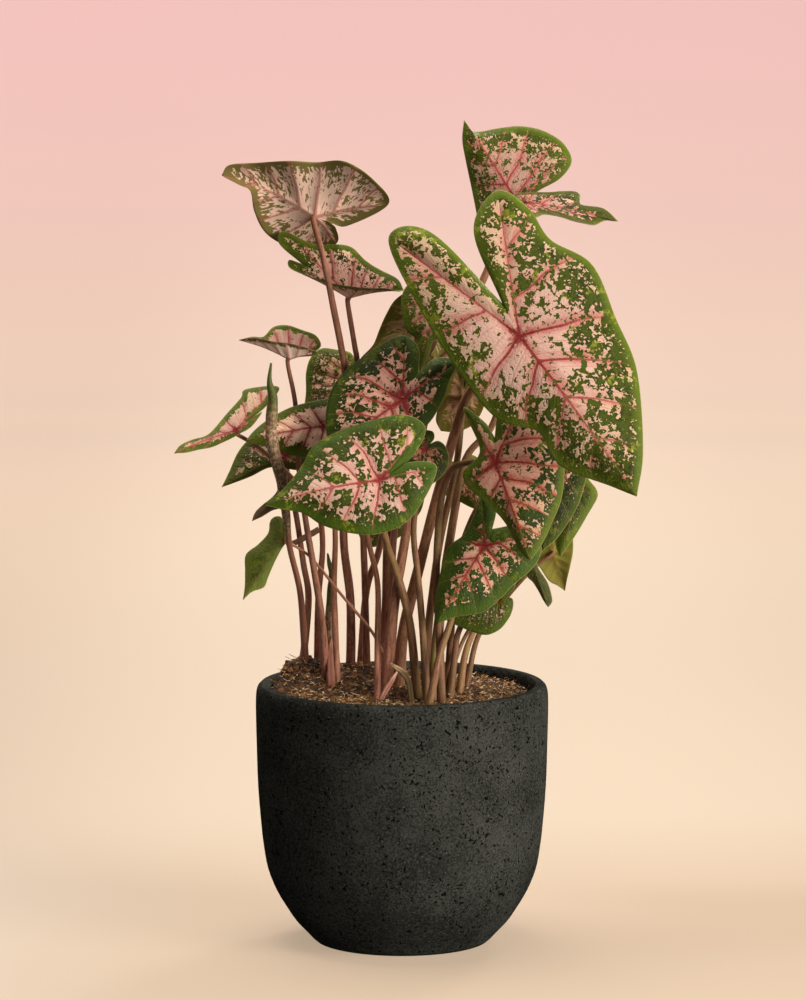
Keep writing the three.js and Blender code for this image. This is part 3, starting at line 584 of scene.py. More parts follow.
# Each row, in mm: the hub where the stalk meets the blade, the blade's edge as (x, z) or (x, z,
# shift back), with the tip, the right half up to the notch and the left half, and the stalk's line.
# lean says how much the blade moves back per mm along x and z, fold per mm from its midrib, and bulge
# how far its halves arch up. A blade with shownFromBelow turns its underside to the front.
leaves = {
    "leaf_01": dict(
        hub=(70, -72, 381), lean=(-0.05, 0.33), fold=0.12, bulge=8,
        tip=(139, 289), notch=(60, 400),
        right=[(143, 315), (140, 361), (128, 391), (114, 422), (89, 437), (76, 456), (57, 466), (43, 442)],
        left=[(124, 295), (94, 306), (81, 325), (58, 332), (38, 354), (9, 399), (-8, 438), (17, 442)],
        stalkRadii=(3.6, 2.6),
        stalk=[(-2, 6, 160), (1, 4, 192), (11, 2, 234), (18, 0, 262), (31, -8, 312), (40, -20, 340),
            (57, -46, 366)],
    ),
    "leaf_02": dict(
        hub=(69, 14, 458), lean=(-0.1, 0.3), fold=0.1, bulge=4,
        tip=(38, 505, -5), notch=(72, 454),
        right=[(37, 493, -4), (39, 481, -4), (42, 467), (45, 452), (48, 437), (53, 430), (60, 429),
            (66, 440)],
        left=[(44, 498), (60, 500), (74, 501), (88, 498), (99, 491), (104, 480), (97, 470), (84, 463)],
        stalkRadii=(3.6, 1.9),
        stalk=[(-10, -6, 157), (-7, -12, 189), (-4, -14, 217), (2, -14, 252), (10, -6, 305), (21, 4, 353),
            (31, 8, 368), (51, 22, 410)],
    ),
    "leaf_03": dict(
        hub=(75, -12, 457), lean=(0.05, 0.8), fold=0, bulge=1.5,
        tip=(131, 446), notch=(70, 456),
        right=[(122, 453), (109, 456), (108, 463, 5), (97, 463, 5), (89, 462, 5), (81, 463, 5),
            (69, 462, 5), (67, 458)],
        left=[(123, 447), (115, 444, -7), (104, 446, -7), (93, 450, -7), (86, 451, -7), (80, 448, -7),
            (68, 449, -7), (67, 454)],
        stalkRadii=(2.9, 1.6),
        stalk=[(19, -18, 156), (21, -10, 188), (25, 0, 221), (30, 8, 253), (39, 14, 297), (57, 12, 322),
            (67, 4, 378)],
    ),
    "leaf_04": dict(
        hub=(-53, -8, 448), lean=(-0.12, -0.75), fold=0, bulge=5, shownFromBelow=True,
        tip=(-109, 474), notch=(-43, 444),
        right=[(-99, 469), (-92, 464), (-90, 451), (-84, 439), (-73, 431), (-56, 426, 3), (-40, 431),
            (-40, 441)],
        left=[(-104, 480), (-87, 482, 5), (-67, 484), (-51, 482, 5), (-34, 483), (-18, 473), (-8, 457),
            (-33, 442)],
        stalkRadii=(2.9, 1.6),
        stalk=[(-32, 34, 164), (-32, 22, 208), (-36, 10, 248), (-35, 3, 298), (-35, -1, 332),
            (-35, -10, 356), (-41, -23, 391), (-47, -25, 422)],
    ),
    "leaf_05": dict(
        hub=(-32, -11, 399), lean=(0.2, 0.45), fold=0, bulge=2,
        tip=(1, 403), notch=(-61, 419.5),
        right=[(-3, 409.5), (-13.5, 415), (-22.5, 421), (-30.5, 429), (-41, 431), (-55, 431.5),
            (-72, 438.5), (-75, 431.5)],
        left=[(-2.5, 403, -5), (-10.5, 405.5, -11), (-19.5, 405.5, -14), (-28, 406, -14), (-40, 408, -13),
            (-54.5, 412, -10), (-67.5, 417.5, -6), (-68.5, 422)],
        stalkRadii=(2.3, 1.4),
        stalk=[(-22, 30, 166), (-23, 22, 218), (-24, 18, 248), (-26, 1, 304), (-27, -4, 354), (-29, -7, 370)],
    ),
    "leaf_06": dict(
        hub=(-69, -5, 361), lean=(0.1, 0.5), fold=0, bulge=1.5,
        tip=(-99.5, 372.5), notch=(-61, 362.5),
        right=[(-94, 373.5, -4), (-86.5, 373.5, -9), (-78.5, 372.5, -12), (-70, 372, -13), (-62, 370, -12),
            (-55.5, 367.5, -10), (-52, 365, -6), (-55.5, 362.5)],
        left=[(-91.5, 374.5), (-84.5, 374.5), (-78.5, 380), (-70, 380.5), (-59.5, 377), (-52.5, 374.5),
            (-49.5, 369), (-54, 365)],
        stalkRadii=(2.6, 1.1),
        stalk=[(-47, 10, 159), (-49, 0, 196), (-54, -8, 232), (-59, -8, 262), (-63, 0, 291), (-65, 2, 330)],
    ),
    "leaf_07": dict(
        hub=(-101, -20, 319), lean=(0.2, 0.6), fold=0.2, bulge=2,
        tip=(-138, 306.5), notch=(-93, 324.5),
        right=[(-130.5, 306.5), (-123.5, 308), (-115.5, 309.5), (-107, 313), (-100, 316.5), (-92, 320.5),
            (-85.5, 328.5), (-89, 327)],
        left=[(-134.5, 311), (-127.5, 314), (-117.5, 317), (-107.5, 327.5), (-98.5, 337), (-95.5, 342),
            (-75.5, 343.5), (-82, 333.5)],
        stalkRadii=(2.2, 1.1),
        stalk=[(-53, 40, 164), (-52, 26, 208), (-49, 14, 244), (-52, 2, 268), (-61, -9, 282),
            (-85, -14, 306)],
    ),
    "leaf_08": dict(
        hub=(-48, -17, 321), lean=(0.15, 0.45), fold=0.1, bulge=4,
        tip=(-95, 313), notch=(-39, 320),
        right=[(-89, 311), (-80, 309), (-68, 305), (-55, 302), (-41, 302), (-29, 304), (-21, 307),
            (-29, 314)],
        left=[(-90, 319), (-82, 325), (-68, 332), (-53, 336), (-38, 338), (-27, 337), (-20, 333), (-27, 326)],
        stalkRadii=(2.2, 1.3),
        stalk=[(-40, 8, 158), (-41, 8, 186), (-42, 8, 220), (-41, 0, 251), (-43, -8, 287)],
    ),
    "leaf_09": dict(
        hub=(-71.5, 8, 299.5), lean=(0.1, 0.45), fold=0.1, bulge=3,
        tip=(-110.5, 282), notch=(-66.5, 301.5),
        right=[(-104, 284), (-93, 288), (-82.5, 293), (-73.5, 293), (-64, 291.5), (-55.5, 292.5),
            (-51.5, 296), (-58, 299.5)],
        left=[(-106, 291), (-101, 302), (-94.5, 309.5), (-85, 315), (-74, 317), (-64, 317), (-58, 313),
            (-60.5, 306)],
        stalkRadii=(2.3, 1.3),
        stalk=[(-62, 36, 167), (-58, 26, 208), (-61, 18, 232), (-65, 14, 261), (-69, 14, 280)],
    ),
    "leaf_10": dict(
        hub=(0, -35, 339), lean=(0.05, 0.5), fold=0.1, bulge=5,
        tip=(-39, 309), notch=(10, 355),
        right=[(-30, 307), (-14, 309), (1, 315), (16, 325), (25, 339), (29, 351), (34, 361), (21, 363)],
        left=[(-45, 318), (-46, 332), (-42, 346), (-32, 358), (-19, 367), (-9, 373), (2, 376), (10, 369)],
        stalkRadii=(3, 2),
        stalk=[(-13, 40, 167), (-10, 30, 204), (-9, 16, 246), (-5, -8, 293)],
    ),
    "leaf_11": dict(
        hub=(-34.5, 14, 345), lean=(0, 0.45), fold=0.1, bulge=4,
        tip=(-59, 320.5), notch=(-28.5, 350.5),
        right=[(-51.5, 319), (-38, 320), (-26, 325), (-16, 330.5), (-10, 337.5), (-5, 345), (-6, 353),
            (-16.5, 354.5)],
        left=[(-60, 328.5), (-59, 339), (-59, 350.5), (-56, 359.5), (-49.5, 364.5), (-40.5, 364),
            (-32, 362.5), (-28.5, 357)],
        stalkRadii=(2, 1.3),
        stalk=[(-15, -14, 156), (-15, -6, 188), (-15, -4, 222), (-20, -4, 246), (-26, 0, 274), (-31, 4, 310)],
    ),
    "leaf_12": dict(
        hub=(-13, -75, 295), lean=(0, 0.42), fold=0.12, bulge=6,
        tip=(-83, 281), notch=(-4, 300),
        right=[(-72, 278), (-59, 276), (-47, 269), (-30, 264), (-13, 264), (6, 274), (21, 302), (5, 305)],
        left=[(-71, 290), (-60, 303), (-53, 314), (-38, 323), (-18, 329), (1, 332), (14, 325), (8, 311)],
        stalkRadii=(2.7, 1.9),
        stalk=[(9, -16, 157), (5, -20, 199), (-2, -24, 228), (-9, -32, 250), (-13, -48, 272)],
    ),
    "leaf_13": dict(
        hub=(13.5, -42, 309.5), lean=(0, 0.4), fold=0.1, bulge=3,
        tip=(-7, 280.5), notch=(17, 313),
        right=[(0, 280.5), (9.5, 283.5), (17, 288.5), (23, 293), (26.5, 297.5), (28.5, 303.5), (26.5, 311),
            (22, 314.5)],
        left=[(-9.5, 287.5), (-11, 296.5), (-8.5, 305.5), (-3.5, 312.5), (2.5, 317.5), (9.5, 320.5),
            (18, 320.5), (19.5, 316.5)],
        stalkRadii=(2.4, 1.4),
        stalk=[(15, -30, 157), (13, -26, 191), (10, -28, 228), (7, -30, 258), (10, -34, 284)],
    ),
    "leaf_14": dict(
        hub=(11, 26, 383), lean=(0, -0.35), fold=0, bulge=5, shownFromBelow=True,
        tip=(-31, 349), notch=(18, 390),
        right=[(-21, 345), (-7, 345), (5, 346), (17, 350), (27, 358), (35, 367), (38, 377), (28, 383)],
        left=[(-25, 358), (-18, 366), (-14, 376), (-10, 385), (-4, 395), (6, 402), (20, 407), (23, 398)],
        stalkRadii=(2.4, 1.5),
        stalk=[(-26, 46, 164), (-22, 36, 213), (-14, 30, 240), (-6, 24, 289), (2, 20, 333)],
    ),
    "leaf_15": dict(
        hub=(22, 10, 394.5), lean=(0, 0.35), fold=0.1, bulge=3,
        tip=(11, 353), notch=(22.5, 400),
        right=[(16, 361.5), (19.5, 371), (27, 373), (34.5, 379), (39, 389.5), (40.5, 399.5), (35.5, 407.5),
            (29.5, 405.5)],
        left=[(9, 365), (9, 372), (2.5, 378), (0, 388.5), (-0.5, 395.5), (2, 403), (10, 409.5), (17, 406)],
        stalkRadii=(2.2, 1.5),
        stalk=[(-6, 22, 163), (-6, 12, 210), (-5, 4, 248), (1, 2, 292), (13, 12, 354), (20, 14, 370)],
    ),
    "leaf_16": dict(
        hub=(37, 30, 334), lean=(0, -0.4), fold=0, bulge=2.5, shownFromBelow=True,
        tip=(24, 312), notch=(39.5, 342.5),
        right=[(30, 311.5), (37, 312.5), (44.5, 316.5), (49.5, 324.5), (52, 333.5), (52, 342.5),
            (48, 351.5), (42, 349)],
        left=[(21, 319), (23, 329), (26, 337.5), (27.5, 345), (29.5, 351.5), (33, 356.5), (38, 358),
            (40.5, 351.5)],
        stalkRadii=(2.7, 1.7),
        stalk=[(14, 14, 157), (17, 18, 197), (23, 20, 243), (33, 20, 290), (36, 22, 314)],
    ),
    "leaf_17": dict(
        hub=(56, -46, 302), lean=(0, 0.33), fold=0.1, bulge=6,
        tip=(77, 245), notch=(56, 317),
        right=[(84, 254), (90, 266), (96, 280), (98, 295), (97, 309), (90, 327), (73, 341), (59, 331)],
        left=[(71, 251), (62, 267), (51, 278), (40, 288), (37, 297), (47, 309), (37, 334), (50, 326)],
        stalkRadii=(2.5, 1.7),
        stalk=[(24, -30, 156), (23, -26, 191), (21, -22, 227), (23, -22, 270), (29, -26, 294),
            (41, -34, 301)],
    ),
    "leaf_18": dict(
        hub=(50, -28, 249), lean=(0, 0.33), fold=0.1, bulge=5,
        tip=(21, 203), notch=(55, 259),
        right=[(32, 207), (49, 210), (61, 219), (67, 225), (78, 234), (84, 243), (84, 255), (72, 261)],
        left=[(20, 215), (22, 227), (25, 239), (29, 249), (38, 256), (44, 267), (49, 278), (57, 271)],
        stalkRadii=(2.3, 1.5),
        stalk=[(17, -42, 156), (23, -34, 183), (29, -27, 200), (35, -24, 221), (43, -22, 236)],
    ),
    "leaf_19": dict(
        hub=(59, -8, 213), lean=(0, 0.35), fold=0.1, bulge=4,
        tip=(27, 201), notch=(62.5, 214.5),
        right=[(33, 198), (41.5, 194.5), (51.5, 192), (60, 195.5), (65.5, 202), (68, 208), (68, 213),
            (65, 214.5)],
        left=[(30.5, 208), (35.5, 215), (41.5, 221), (49, 224.5), (57, 227), (65, 226.5), (69.5, 222),
            (66.5, 217.5)],
        stalkRadii=(2.2, 1.4),
        stalk=[(30, -10, 157), (32, -6, 174), (35, -3, 193), (45, -3, 205)],
    ),
    "leaf_20": dict(
        hub=(102, -24, 299), lean=(0, 0.35), fold=0.1, bulge=3,
        tip=(85, 248), notch=(103, 305),
        right=[(93, 254), (102, 266), (108, 277), (112, 290), (114, 301), (114, 310), (111, 318), (106, 312)],
        left=[(84, 255), (84, 267), (85, 280), (88, 295), (90, 307), (94, 314), (99, 318), (102, 311)],
        stalkRadii=(2.4, 1.4),
        stalk=[(28, 4, 157), (30, 4, 186), (33, 4, 224), (39, 0, 252), (51, -6, 276), (75, -12, 294)],
    ),
    "leaf_21": dict(
        hub=(109, -6, 282.5), lean=(0, 0.35), fold=0.1, bulge=3,
        tip=(96.5, 241), notch=(109, 286),
        right=[(101.5, 247.5), (107.5, 256), (113, 265), (119.5, 276), (119, 281), (115, 286), (112, 290),
            (109.5, 289)],
        left=[(94, 248), (94, 258), (95.5, 269), (98, 278), (100.5, 285.5), (103, 290), (106, 292),
            (107, 289)],
        stalkRadii=(2.2, 1.3),
        stalk=[(36, 0, 157), (39, 6, 177), (46, 12, 194), (60, 12, 219), (85, 6, 251)],
    ),
    "leaf_22": dict(
        hub=(92.5, 14, 239.5), lean=(0, -0.35), fold=0, bulge=2, shownFromBelow=True,
        tip=(101, 214), notch=(93, 246),
        right=[(102, 221), (104, 230.5), (105.5, 239.5), (105.5, 247.5), (104.5, 254), (102, 259),
            (97, 260.5), (95, 254)],
        left=[(96, 217.5), (91, 220.5), (85.5, 229), (81.5, 235.5), (81.5, 243.5), (84, 251.5),
            (88.5, 255), (91, 251.5)],
        stalkRadii=(1.8, 1.1),
        stalk=[(40, 12, 156), (47, 18, 186), (61, 18, 206), (79, 11, 228)],
    ),
    "leaf_23": dict(
        hub=(79.5, -22, 237.5), lean=(0, 0.3), fold=0.3, bulge=1,
        tip=(89, 211.5), notch=(78.5, 240),
        right=[(91.5, 214.5), (91, 219), (89, 225.5), (85.5, 231), (83, 235), (82, 239.5), (80.5, 242.5),
            (79.5, 241)],
        left=[(86, 216), (83, 221.5), (79.5, 226.5), (76.5, 229), (75, 233.5), (75, 238), (77, 242),
            (78, 241.5)],
        stalkRadii=(1.4, 0.9),
        stalk=[(26, -6, 157), (33, -2, 175), (41, 4, 192), (60, 9, 217), (71, -3, 229)],
    ),
    "leaf_24": dict(
        hub=(-72.5, -26, 252), lean=(0, 0.4), fold=0.2, bulge=2,
        tip=(-96.5, 217.5), notch=(-72, 258.5),
        right=[(-91, 222), (-84, 224.5), (-81.5, 230.5), (-77.5, 240), (-73.5, 247), (-70, 252.5),
            (-69.5, 260.5), (-71.5, 264.5)],
        left=[(-95.5, 225.5), (-95.5, 234.5), (-95, 243.5), (-87.5, 249.5), (-81.5, 256), (-80.5, 263),
            (-77, 266), (-73, 265)],
        stalkRadii=(1, 0.8),
        stalk=[(-9, 10, 168), (-17, 4, 189), (-37, -2, 215), (-54, -1, 236), (-64, -12, 246)],
    ),
    "leaf_25": dict(
        hub=(-6.5, 52, 264), lean=(0, 0.4), fold=0.1, bulge=3,
        tip=(-22, 238.5), notch=(-2, 270.5),
        right=[(-16, 239), (-10.5, 240.5), (-4.5, 243), (2, 247.5), (8, 255), (12.5, 262), (13.5, 271.5),
            (5, 273)],
        left=[(-26, 244), (-28.5, 252.5), (-28, 262), (-25, 270.5), (-19, 276.5), (-11.5, 280), (-3, 281),
            (0, 275.5)],
        stalkRadii=(2, 1.3),
        stalk=[(-5, 46, 162), (-6, 54, 204), (-6, 61, 236)],
    ),
    "leaf_26": dict(
        hub=(37.5, 42, 283.5), lean=(0, 0.4), fold=0.1, bulge=2.5,
        tip=(47, 263), notch=(36.5, 288),
        right=[(51, 266.5), (53.5, 271.5), (54.5, 277.5), (53.5, 283.5), (51, 289.5), (47.5, 294),
            (42.5, 296), (39, 292.5)],
        left=[(41, 265.5), (35, 268.5), (28, 271), (24, 275.5), (23, 282), (25.5, 288.5), (30, 292.5),
            (34, 291)],
        stalkRadii=(2, 1.3),
        stalk=[(22, 44, 158), (26, 48, 205), (31, 50, 242)],
    ),
    "withered_leaf": dict(
        hub=(-72.5, -29, 281.5), lean=(0, 0.3), fold=0.3, bulge=0.5,
        tip=(-91, 265), notch=(-71.5, 283),
        right=[(-85, 267.5), (-79, 271), (-74, 272.5), (-71, 275.5), (-70, 278.5), (-69.5, 281),
            (-70, 283), (-71, 283.5)],
        left=[(-90, 268.5), (-88, 271.5), (-84, 275), (-80, 278), (-77, 281), (-75.5, 283.5), (-74, 284.5),
            (-73, 284.5)],
    ),
}

# How every blade is made. veins and backVeins: where side veins leave the midrib and the back ribs, as
# shares of the edge's arc; widest: degrees from the tip where the two meet; lobeReach: how far the back
# ribs run into the lobes; quilt: how far the blade puffs up between its ribs, less in the last mm
# (quiltFade) before the edge, where it also gets thinner (thinEdge); ridge: how far the ribs stand out
# below; ripple and bow: waves of the edge and curve of the veins, as shares; wander: mm the veins stray.
# A blade shorter than fullSize has less relief, and one shorter than longBlade fewer waves.
blade = dict(
    thickness=0.55, spacing=2.1, veins=(0.25, 0.46, 0.7), backVeins=(0.4, 0.75), widest=68, lobeReach=0.86,
    quilt=0.9, quiltWidth=4.5, quiltFade=6, thinEdge=4, ridge=0.7, ridgeWidth=1.3, longBlade=46,
    fullSize=70, ripple=0.014, bow=0.07, wander=3.2,
)


def edgePoint(leaf, spot):
    hub, tip = leaf["hub"], leaf["tip"]
    dx, dz = spot[0] - hub[0], spot[1] - hub[2]
    tx, tz = tip[0] - hub[0], tip[1] - hub[2]
    offMidrib = abs(tx * dz - tz * dx) / math.hypot(tx, tz)
    shift = spot[2] if len(spot) > 2 else 0
    lean = leaf["lean"]
    y = hub[1] + lean[0] * dx + lean[1] * dz + leaf["fold"] * offMidrib + shift
    return np.array([spot[0], y, spot[1]], float)


def arcPlaces(stations, low, high, shares):  # places between low and high at these shares of the arc
    fine = np.linspace(low, high, 200)
    line = alongSpline(stations, fine)
    travel = np.concatenate([[0], np.cumsum(np.linalg.norm(np.diff(line, axis=0), axis=1))])
    return np.interp(np.asarray(shares) * travel[-1], travel, fine), travel[-1]


def withVeins(count, veins):  # even shares from 0 to 1, with one moved onto each vein
    shares = np.linspace(0, 1, count + 1)
    for vein in veins:
        nearest = 1 + np.argmin(np.abs(shares[1:-1] - vein))
        shares[nearest] = vein
    return shares


def distanceTo(points, lines):  # from each point to the nearest stretch of the lines
    best = np.full(len(points), 1e9)
    for line in lines:
        for a, b in zip(line[:-1], line[1:]):
            along = b - a
            length = max(along.dot(along), 1e-12)
            w = np.clip((points - a) @ along / length, 0, 1)
            best = np.minimum(best, np.linalg.norm(points - (a + w[:, None] * along), axis=1))
    return best


def bladeGrid(leaf):
    # One row of points for each lateral vein line, from the midrib or a back rib out to the edge.
    hub = np.array(leaf["hub"], float)
    tip, notch = edgePoint(leaf, leaf["tip"]), edgePoint(leaf, leaf["notch"])
    sides = [[tip, *(edgePoint(leaf, p) for p in leaf[side]), notch] for side in ("right", "left")]
    turnsOut = np.linspace(0, 9, 40)
    rim = np.vstack([alongSpline(sides[0], turnsOut), alongSpline(sides[1], turnsOut[::-1])])
    front = np.cross(rim[:-1] - hub, rim[1:] - hub).sum(axis=0)
    front /= np.linalg.norm(front)
    facing = -1 if leaf.get("shownFromBelow") else 1
    length = np.linalg.norm(tip - hub)
    spacing = blade["spacing"] * min(1, 0.5 + length / 160)
    widest = []
    for stations in sides:
        places = np.linspace(1, 6, 101)
        arms = alongSpline(stations, places) - hub
        cosine = arms @ (tip - hub) / np.linalg.norm(arms, axis=1) / length
        beyond = np.nonzero(cosine < math.cos(math.radians(blade["widest"])))[0]
        widest.append(places[beyond[0]] if len(beyond) else 3.6)
    arcA = max(arcPlaces(s, 0, w, [0])[1] for s, w in zip(sides, widest))
    arcB = max(arcPlaces(s, w, 7, [0])[1] for s, w in zip(sides, widest))
    reach = max(np.linalg.norm(r - hub) for r in rim) * 0.9
    steps = max(8, round(reach * 0.72 / spacing))
    v = np.linspace(0, 1, steps + 1)
    waves = 5 if length > blade["longBlade"] else 3
    veins, backVeins = blade["veins"], blade["backVeins"]
    qA = withVeins(max(8, round(arcA / spacing)), veins)
    qB = withVeins(max(6, round(arcB / spacing)), backVeins)
    qC = 1 - qB[::-1]  # the inner edge uses the same points of the back rib
    blocks, ribs, twigs = [], [], []
    for sign, (stations, wide) in enumerate(zip(sides, widest)):
        lobe = hub + blade["lobeReach"] * (alongSpline(stations, [7])[0] - hub)
        placesA, lengthA = arcPlaces(stations, 0, wide, qA)
        placesB, lengthB = arcPlaces(stations, wide, 7, qB)
        placesC, lengthC = arcPlaces(stations, 7, 9, qC)
        places = np.concatenate([placesA, placesB[1:], placesC[1:]])
        rimArc = np.concatenate([qA * lengthA, lengthA + qB[1:] * lengthB,
                                 lengthA + lengthB + qC[1:] * lengthC])
        # where each vein leaves the midrib (gA) or the back rib (hB and hC), as a share of its length
        gA = (1 - qA) ** 1.5
        hB = qB[1:] ** 1.35
        hC = (1 - qC[1:]) ** 1.35
        axis = np.vstack([hub + gA[:, None] * (tip - hub), hub + hB[:, None] * (lobe - hub),
                          hub + hC[:, None] * (lobe - hub)])
        arch = np.concatenate([np.sin(math.pi * gA), 0.4 * np.sin(math.pi * hB),
                               0.4 * np.sin(math.pi * hC)])
        costa = np.linalg.norm(lobe - hub)
        axisArc = np.concatenate([(1 - gA) * length, length + hB * costa, length + (2 - hC) * costa])
        edge = alongSpline(stations, places)
        span = np.linalg.norm(edge - axis, axis=1)
        grid = axis[:, None] + v[None, :, None] * (edge - axis)[:, None]
        # A lateral vein leaves its rib steeply and then bends towards the tip.
        forward = (tip - hub) / length
        bow = np.zeros(len(places))
        bow[:len(qA)] = np.sin(math.pi * qA) * blade["bow"]
        shape = np.sin(math.pi * v) * v**0.3
        grid -= (bow * span)[:, None, None] * shape[None, :, None] * forward
        wander = np.array([[noise.noise(Vector(p) / 17 + Vector((0, 0, 40 * sign))) for p in row]
                           for row in grid])
        fade = np.sin(math.pi * places / 9)  # both halves meet at the tip and at the notch
        wander *= blade["wander"] * (fade * np.minimum(1, span / 40))[:, None] * shape[None, :]
        grid += wander[:, :, None] * np.cross(front, edge - axis)[:, None, :] / (span[:, None, None] + 1e-6)
        turns = places if sign == 0 else -places
        ripple = np.sin(2 * math.pi * waves * turns / 18) * blade["ripple"] * length
        flutter = np.array([noise.noise(Vector((p * 0.9, sign * 7.3, length))) for p in places])
        ripple = ripple + facing * fade * flutter * blade["ripple"] * length
        dome = leaf["bulge"] * facing
        lift = dome * (arch[:, None] * (1 - v)[None, :]
                       + 0.75 * np.sin(math.pi * v)[None, :] * np.minimum(1, span / length)[:, None])
        lift = lift + ripple[:, None] * (v**2)[None, :]
        grid += lift[:, :, None] * front
        last = len(qA) + len(qB) - 2
        main = [int(np.argmin(np.abs(qA - vein))) for vein in veins] + [len(qA) - 1]
        main += [len(qA) - 1 + int(np.argmin(np.abs(qB - vein))) for vein in backVeins]
        ribs += [grid[row][::2] for row in main]
        ribs.append(grid[len(qA) - 1:last + 1, 0])
        if sign == 0:
            ribs.append(grid[:len(qA), 0])
        between = sorted(main + [0, last])
        # Between two ribs the flow map starts anew, so that it is hardly skewed.
        for first, second in zip(between, between[1:] + [len(places) - 1]):
            rows, middle = slice(first, second + 1), (first + second) // 2
            axisPart = axisArc[rows] - axisArc[middle] + rimArc[middle]
            across = axisPart[:, None] * (1 - v) + rimArc[rows, None] * v + 700 * sign + 90 * first
            flow = np.dstack([across, span[rows, None] * v[None, :] + 31 * first])
            blocks.append((sign, grid[rows], flow))
        for first, second in zip(between[:-1], between[1:]):
            count = max(1, round((second - first) * spacing / 13))
            for k in range(count):
                row = first + round((second - first) * (k + 0.5) / count)
                twigs.append(grid[row][:round(len(v) * 0.93)][::2])
        inner = last + (len(places) - last) // 2
        twigs.append(grid[inner][::2])
    return blocks, ribs, twigs, front * facing, hub, length


def makeBlade(name, leaf, faceMaterial, backMaterial):
    blocks, ribs, twigs, up, hub, length = bladeGrid(leaf)
    points = np.vstack([grid.reshape(-1, 3) for _, grid, _ in blocks])
    flows = np.vstack([flow.reshape(-1, 2) for _, _, flow in blocks])
    quads, first = [], 0
    for sign, grid, _ in blocks:
        rows, columns = grid.shape[:2]
        a = (first + np.arange(rows - 1)[:, None] * columns + np.arange(columns - 1)[None, :]).ravel()
        ring = [a, a + 1, a + columns + 1, a + columns]
        quads.append(np.stack(ring if sign else ring[::-1], axis=1))
        first += rows * columns
    quads = np.vstack(quads)
    _, chosen, merged = np.unique(np.round(points, 3), axis=0, return_index=True, return_inverse=True)
    merged = merged.ravel()
    sheet = points[chosen]
    faces, corners = [], []
    for quad in quads:
        ring = [(int(merged[k]), k) for k in quad]
        kept = [pair for i, pair in enumerate(ring) if pair[0] != ring[i - 1][0]]
        if len({pair[0] for pair in kept}) >= 3:
            faces.append(tuple(pair[0] for pair in kept))
            corners.append([pair[1] for pair in kept])
    normals = np.zeros_like(sheet)
    for face in faces:
        a, b, c = sheet[face[0]], sheet[face[1]], sheet[face[2]]
        turn = np.cross(b - a, c - a)
        for k in face:
            normals[k] += turn
    normals /= np.maximum(np.linalg.norm(normals, axis=1), 1e-9)[:, None]
    if normals.sum(axis=0).dot(up) < 0:
        faces = [face[::-1] for face in faces]
        corners = [corner[::-1] for corner in corners]
        normals = -normals
    steps = dict.fromkeys(pair for face in faces for pair in zip(face, face[1:] + face[:1]))
    border = [pair for pair in steps if pair[::-1] not in steps]
    rimLine = [np.array([sheet[a], sheet[b]]) for a, b in border]
    rib, twig, edge = (distanceTo(sheet, lines) for lines in (ribs, twigs, rimLine))
    fromHub = np.linalg.norm(sheet - hub, axis=1)
    share = fromHub / np.maximum(fromHub + edge, 1e-6)
    size = min(1, length / blade["fullSize"])
    puff = blade["quilt"] * size * (1 - np.exp(-((rib / (blade["quiltWidth"] * size)) ** 2)))
    puff *= np.clip(edge / blade["quiltFade"], 0, 1)
    sheet = sheet + normals * puff[:, None]
    half = 0.5 * blade["thickness"] * (0.55 + 0.45 * np.clip(edge / blade["thinEdge"], 0, 1))
    ridge = blade["ridge"] * np.exp(-((rib / blade["ridgeWidth"]) ** 2))
    ridge = ridge * (1 - 0.75 * share) * (0.5 + 0.5 * size)
    upper, under = sheet + normals * half[:, None], sheet - normals * (half + ridge)[:, None]
    below = len(sheet)  # the underside's points come after those of the face
    allFaces = faces + [tuple(below + k for k in reversed(face)) for face in faces]
    allFaces += [(b, a, below + a, below + b) for a, b in border]
    piece = meshObject(name, np.vstack([upper, under]) * mm, allFaces, [faceMaterial, backMaterial])
    flat = [flows[k] for corner in corners for k in corner]
    flat += [flows[k] for corner in corners for k in reversed(corner)]
    flat += [(0, 0)] * 4 * len(border)
    layer = piece.data.uv_layers.new(name="flow")
    layer.data.foreach_set("uv", np.array(flat, np.float32).ravel() / 100)
    for key, values in (("rib", rib), ("twig", twig), ("edge", edge), ("fromHub", fromHub)):
        attribute = piece.data.attributes.new(key, "FLOAT", "POINT")
        attribute.data.foreach_set("value", np.tile(values, 2).astype(np.float32))
    slots = [0] * len(faces) + [1] * len(faces) + [0] * len(border)
    piece.data.polygons.foreach_set("material_index", slots)
    piece.data.polygons.foreach_set("use_smooth", [True] * len(allFaces))
    return piece


# The marks on each blade. reach: how far the pink runs out from the hub towards the edge, patch: strength
# of the green patches in it, dots: pale flecks out in the green, marks: how fine they all are, along: more
# pink along the ribs, tilt: more pink towards one side, band: mm of plain green along the edge, heart: size
# of the crimson star in mm, vein: width of the ribs in mm at the hub, creamy: cream towards the edge,
# sunny: yellow-green flecks. A blade seen from below shows its back colours.
plainLook = dict(
    reach=0.5, patch=0.8, dots=0.5, along=0.4, band=4, heart=9, vein=1.7, creamy=0.6, sunny=0.25, tilt=0,
    marks=1.0,
    green=(60, 70, 9), rimGreen=(82, 96, 20), pink=(206, 164, 150), blush=(172, 98, 88),
    cream=(204, 186, 134), rib=(130, 34, 36), back=(176, 142, 120), backGreen=(96, 98, 44),
    backRib=(142, 88, 74), backRibShare=0.6,
    fleck=(138, 142, 38), halo=(170, 150, 84), greenTwig=(96, 98, 40), greenRib=(96, 84, 38),
    edgeLineAndHighlight=(150, 140, 88),
)
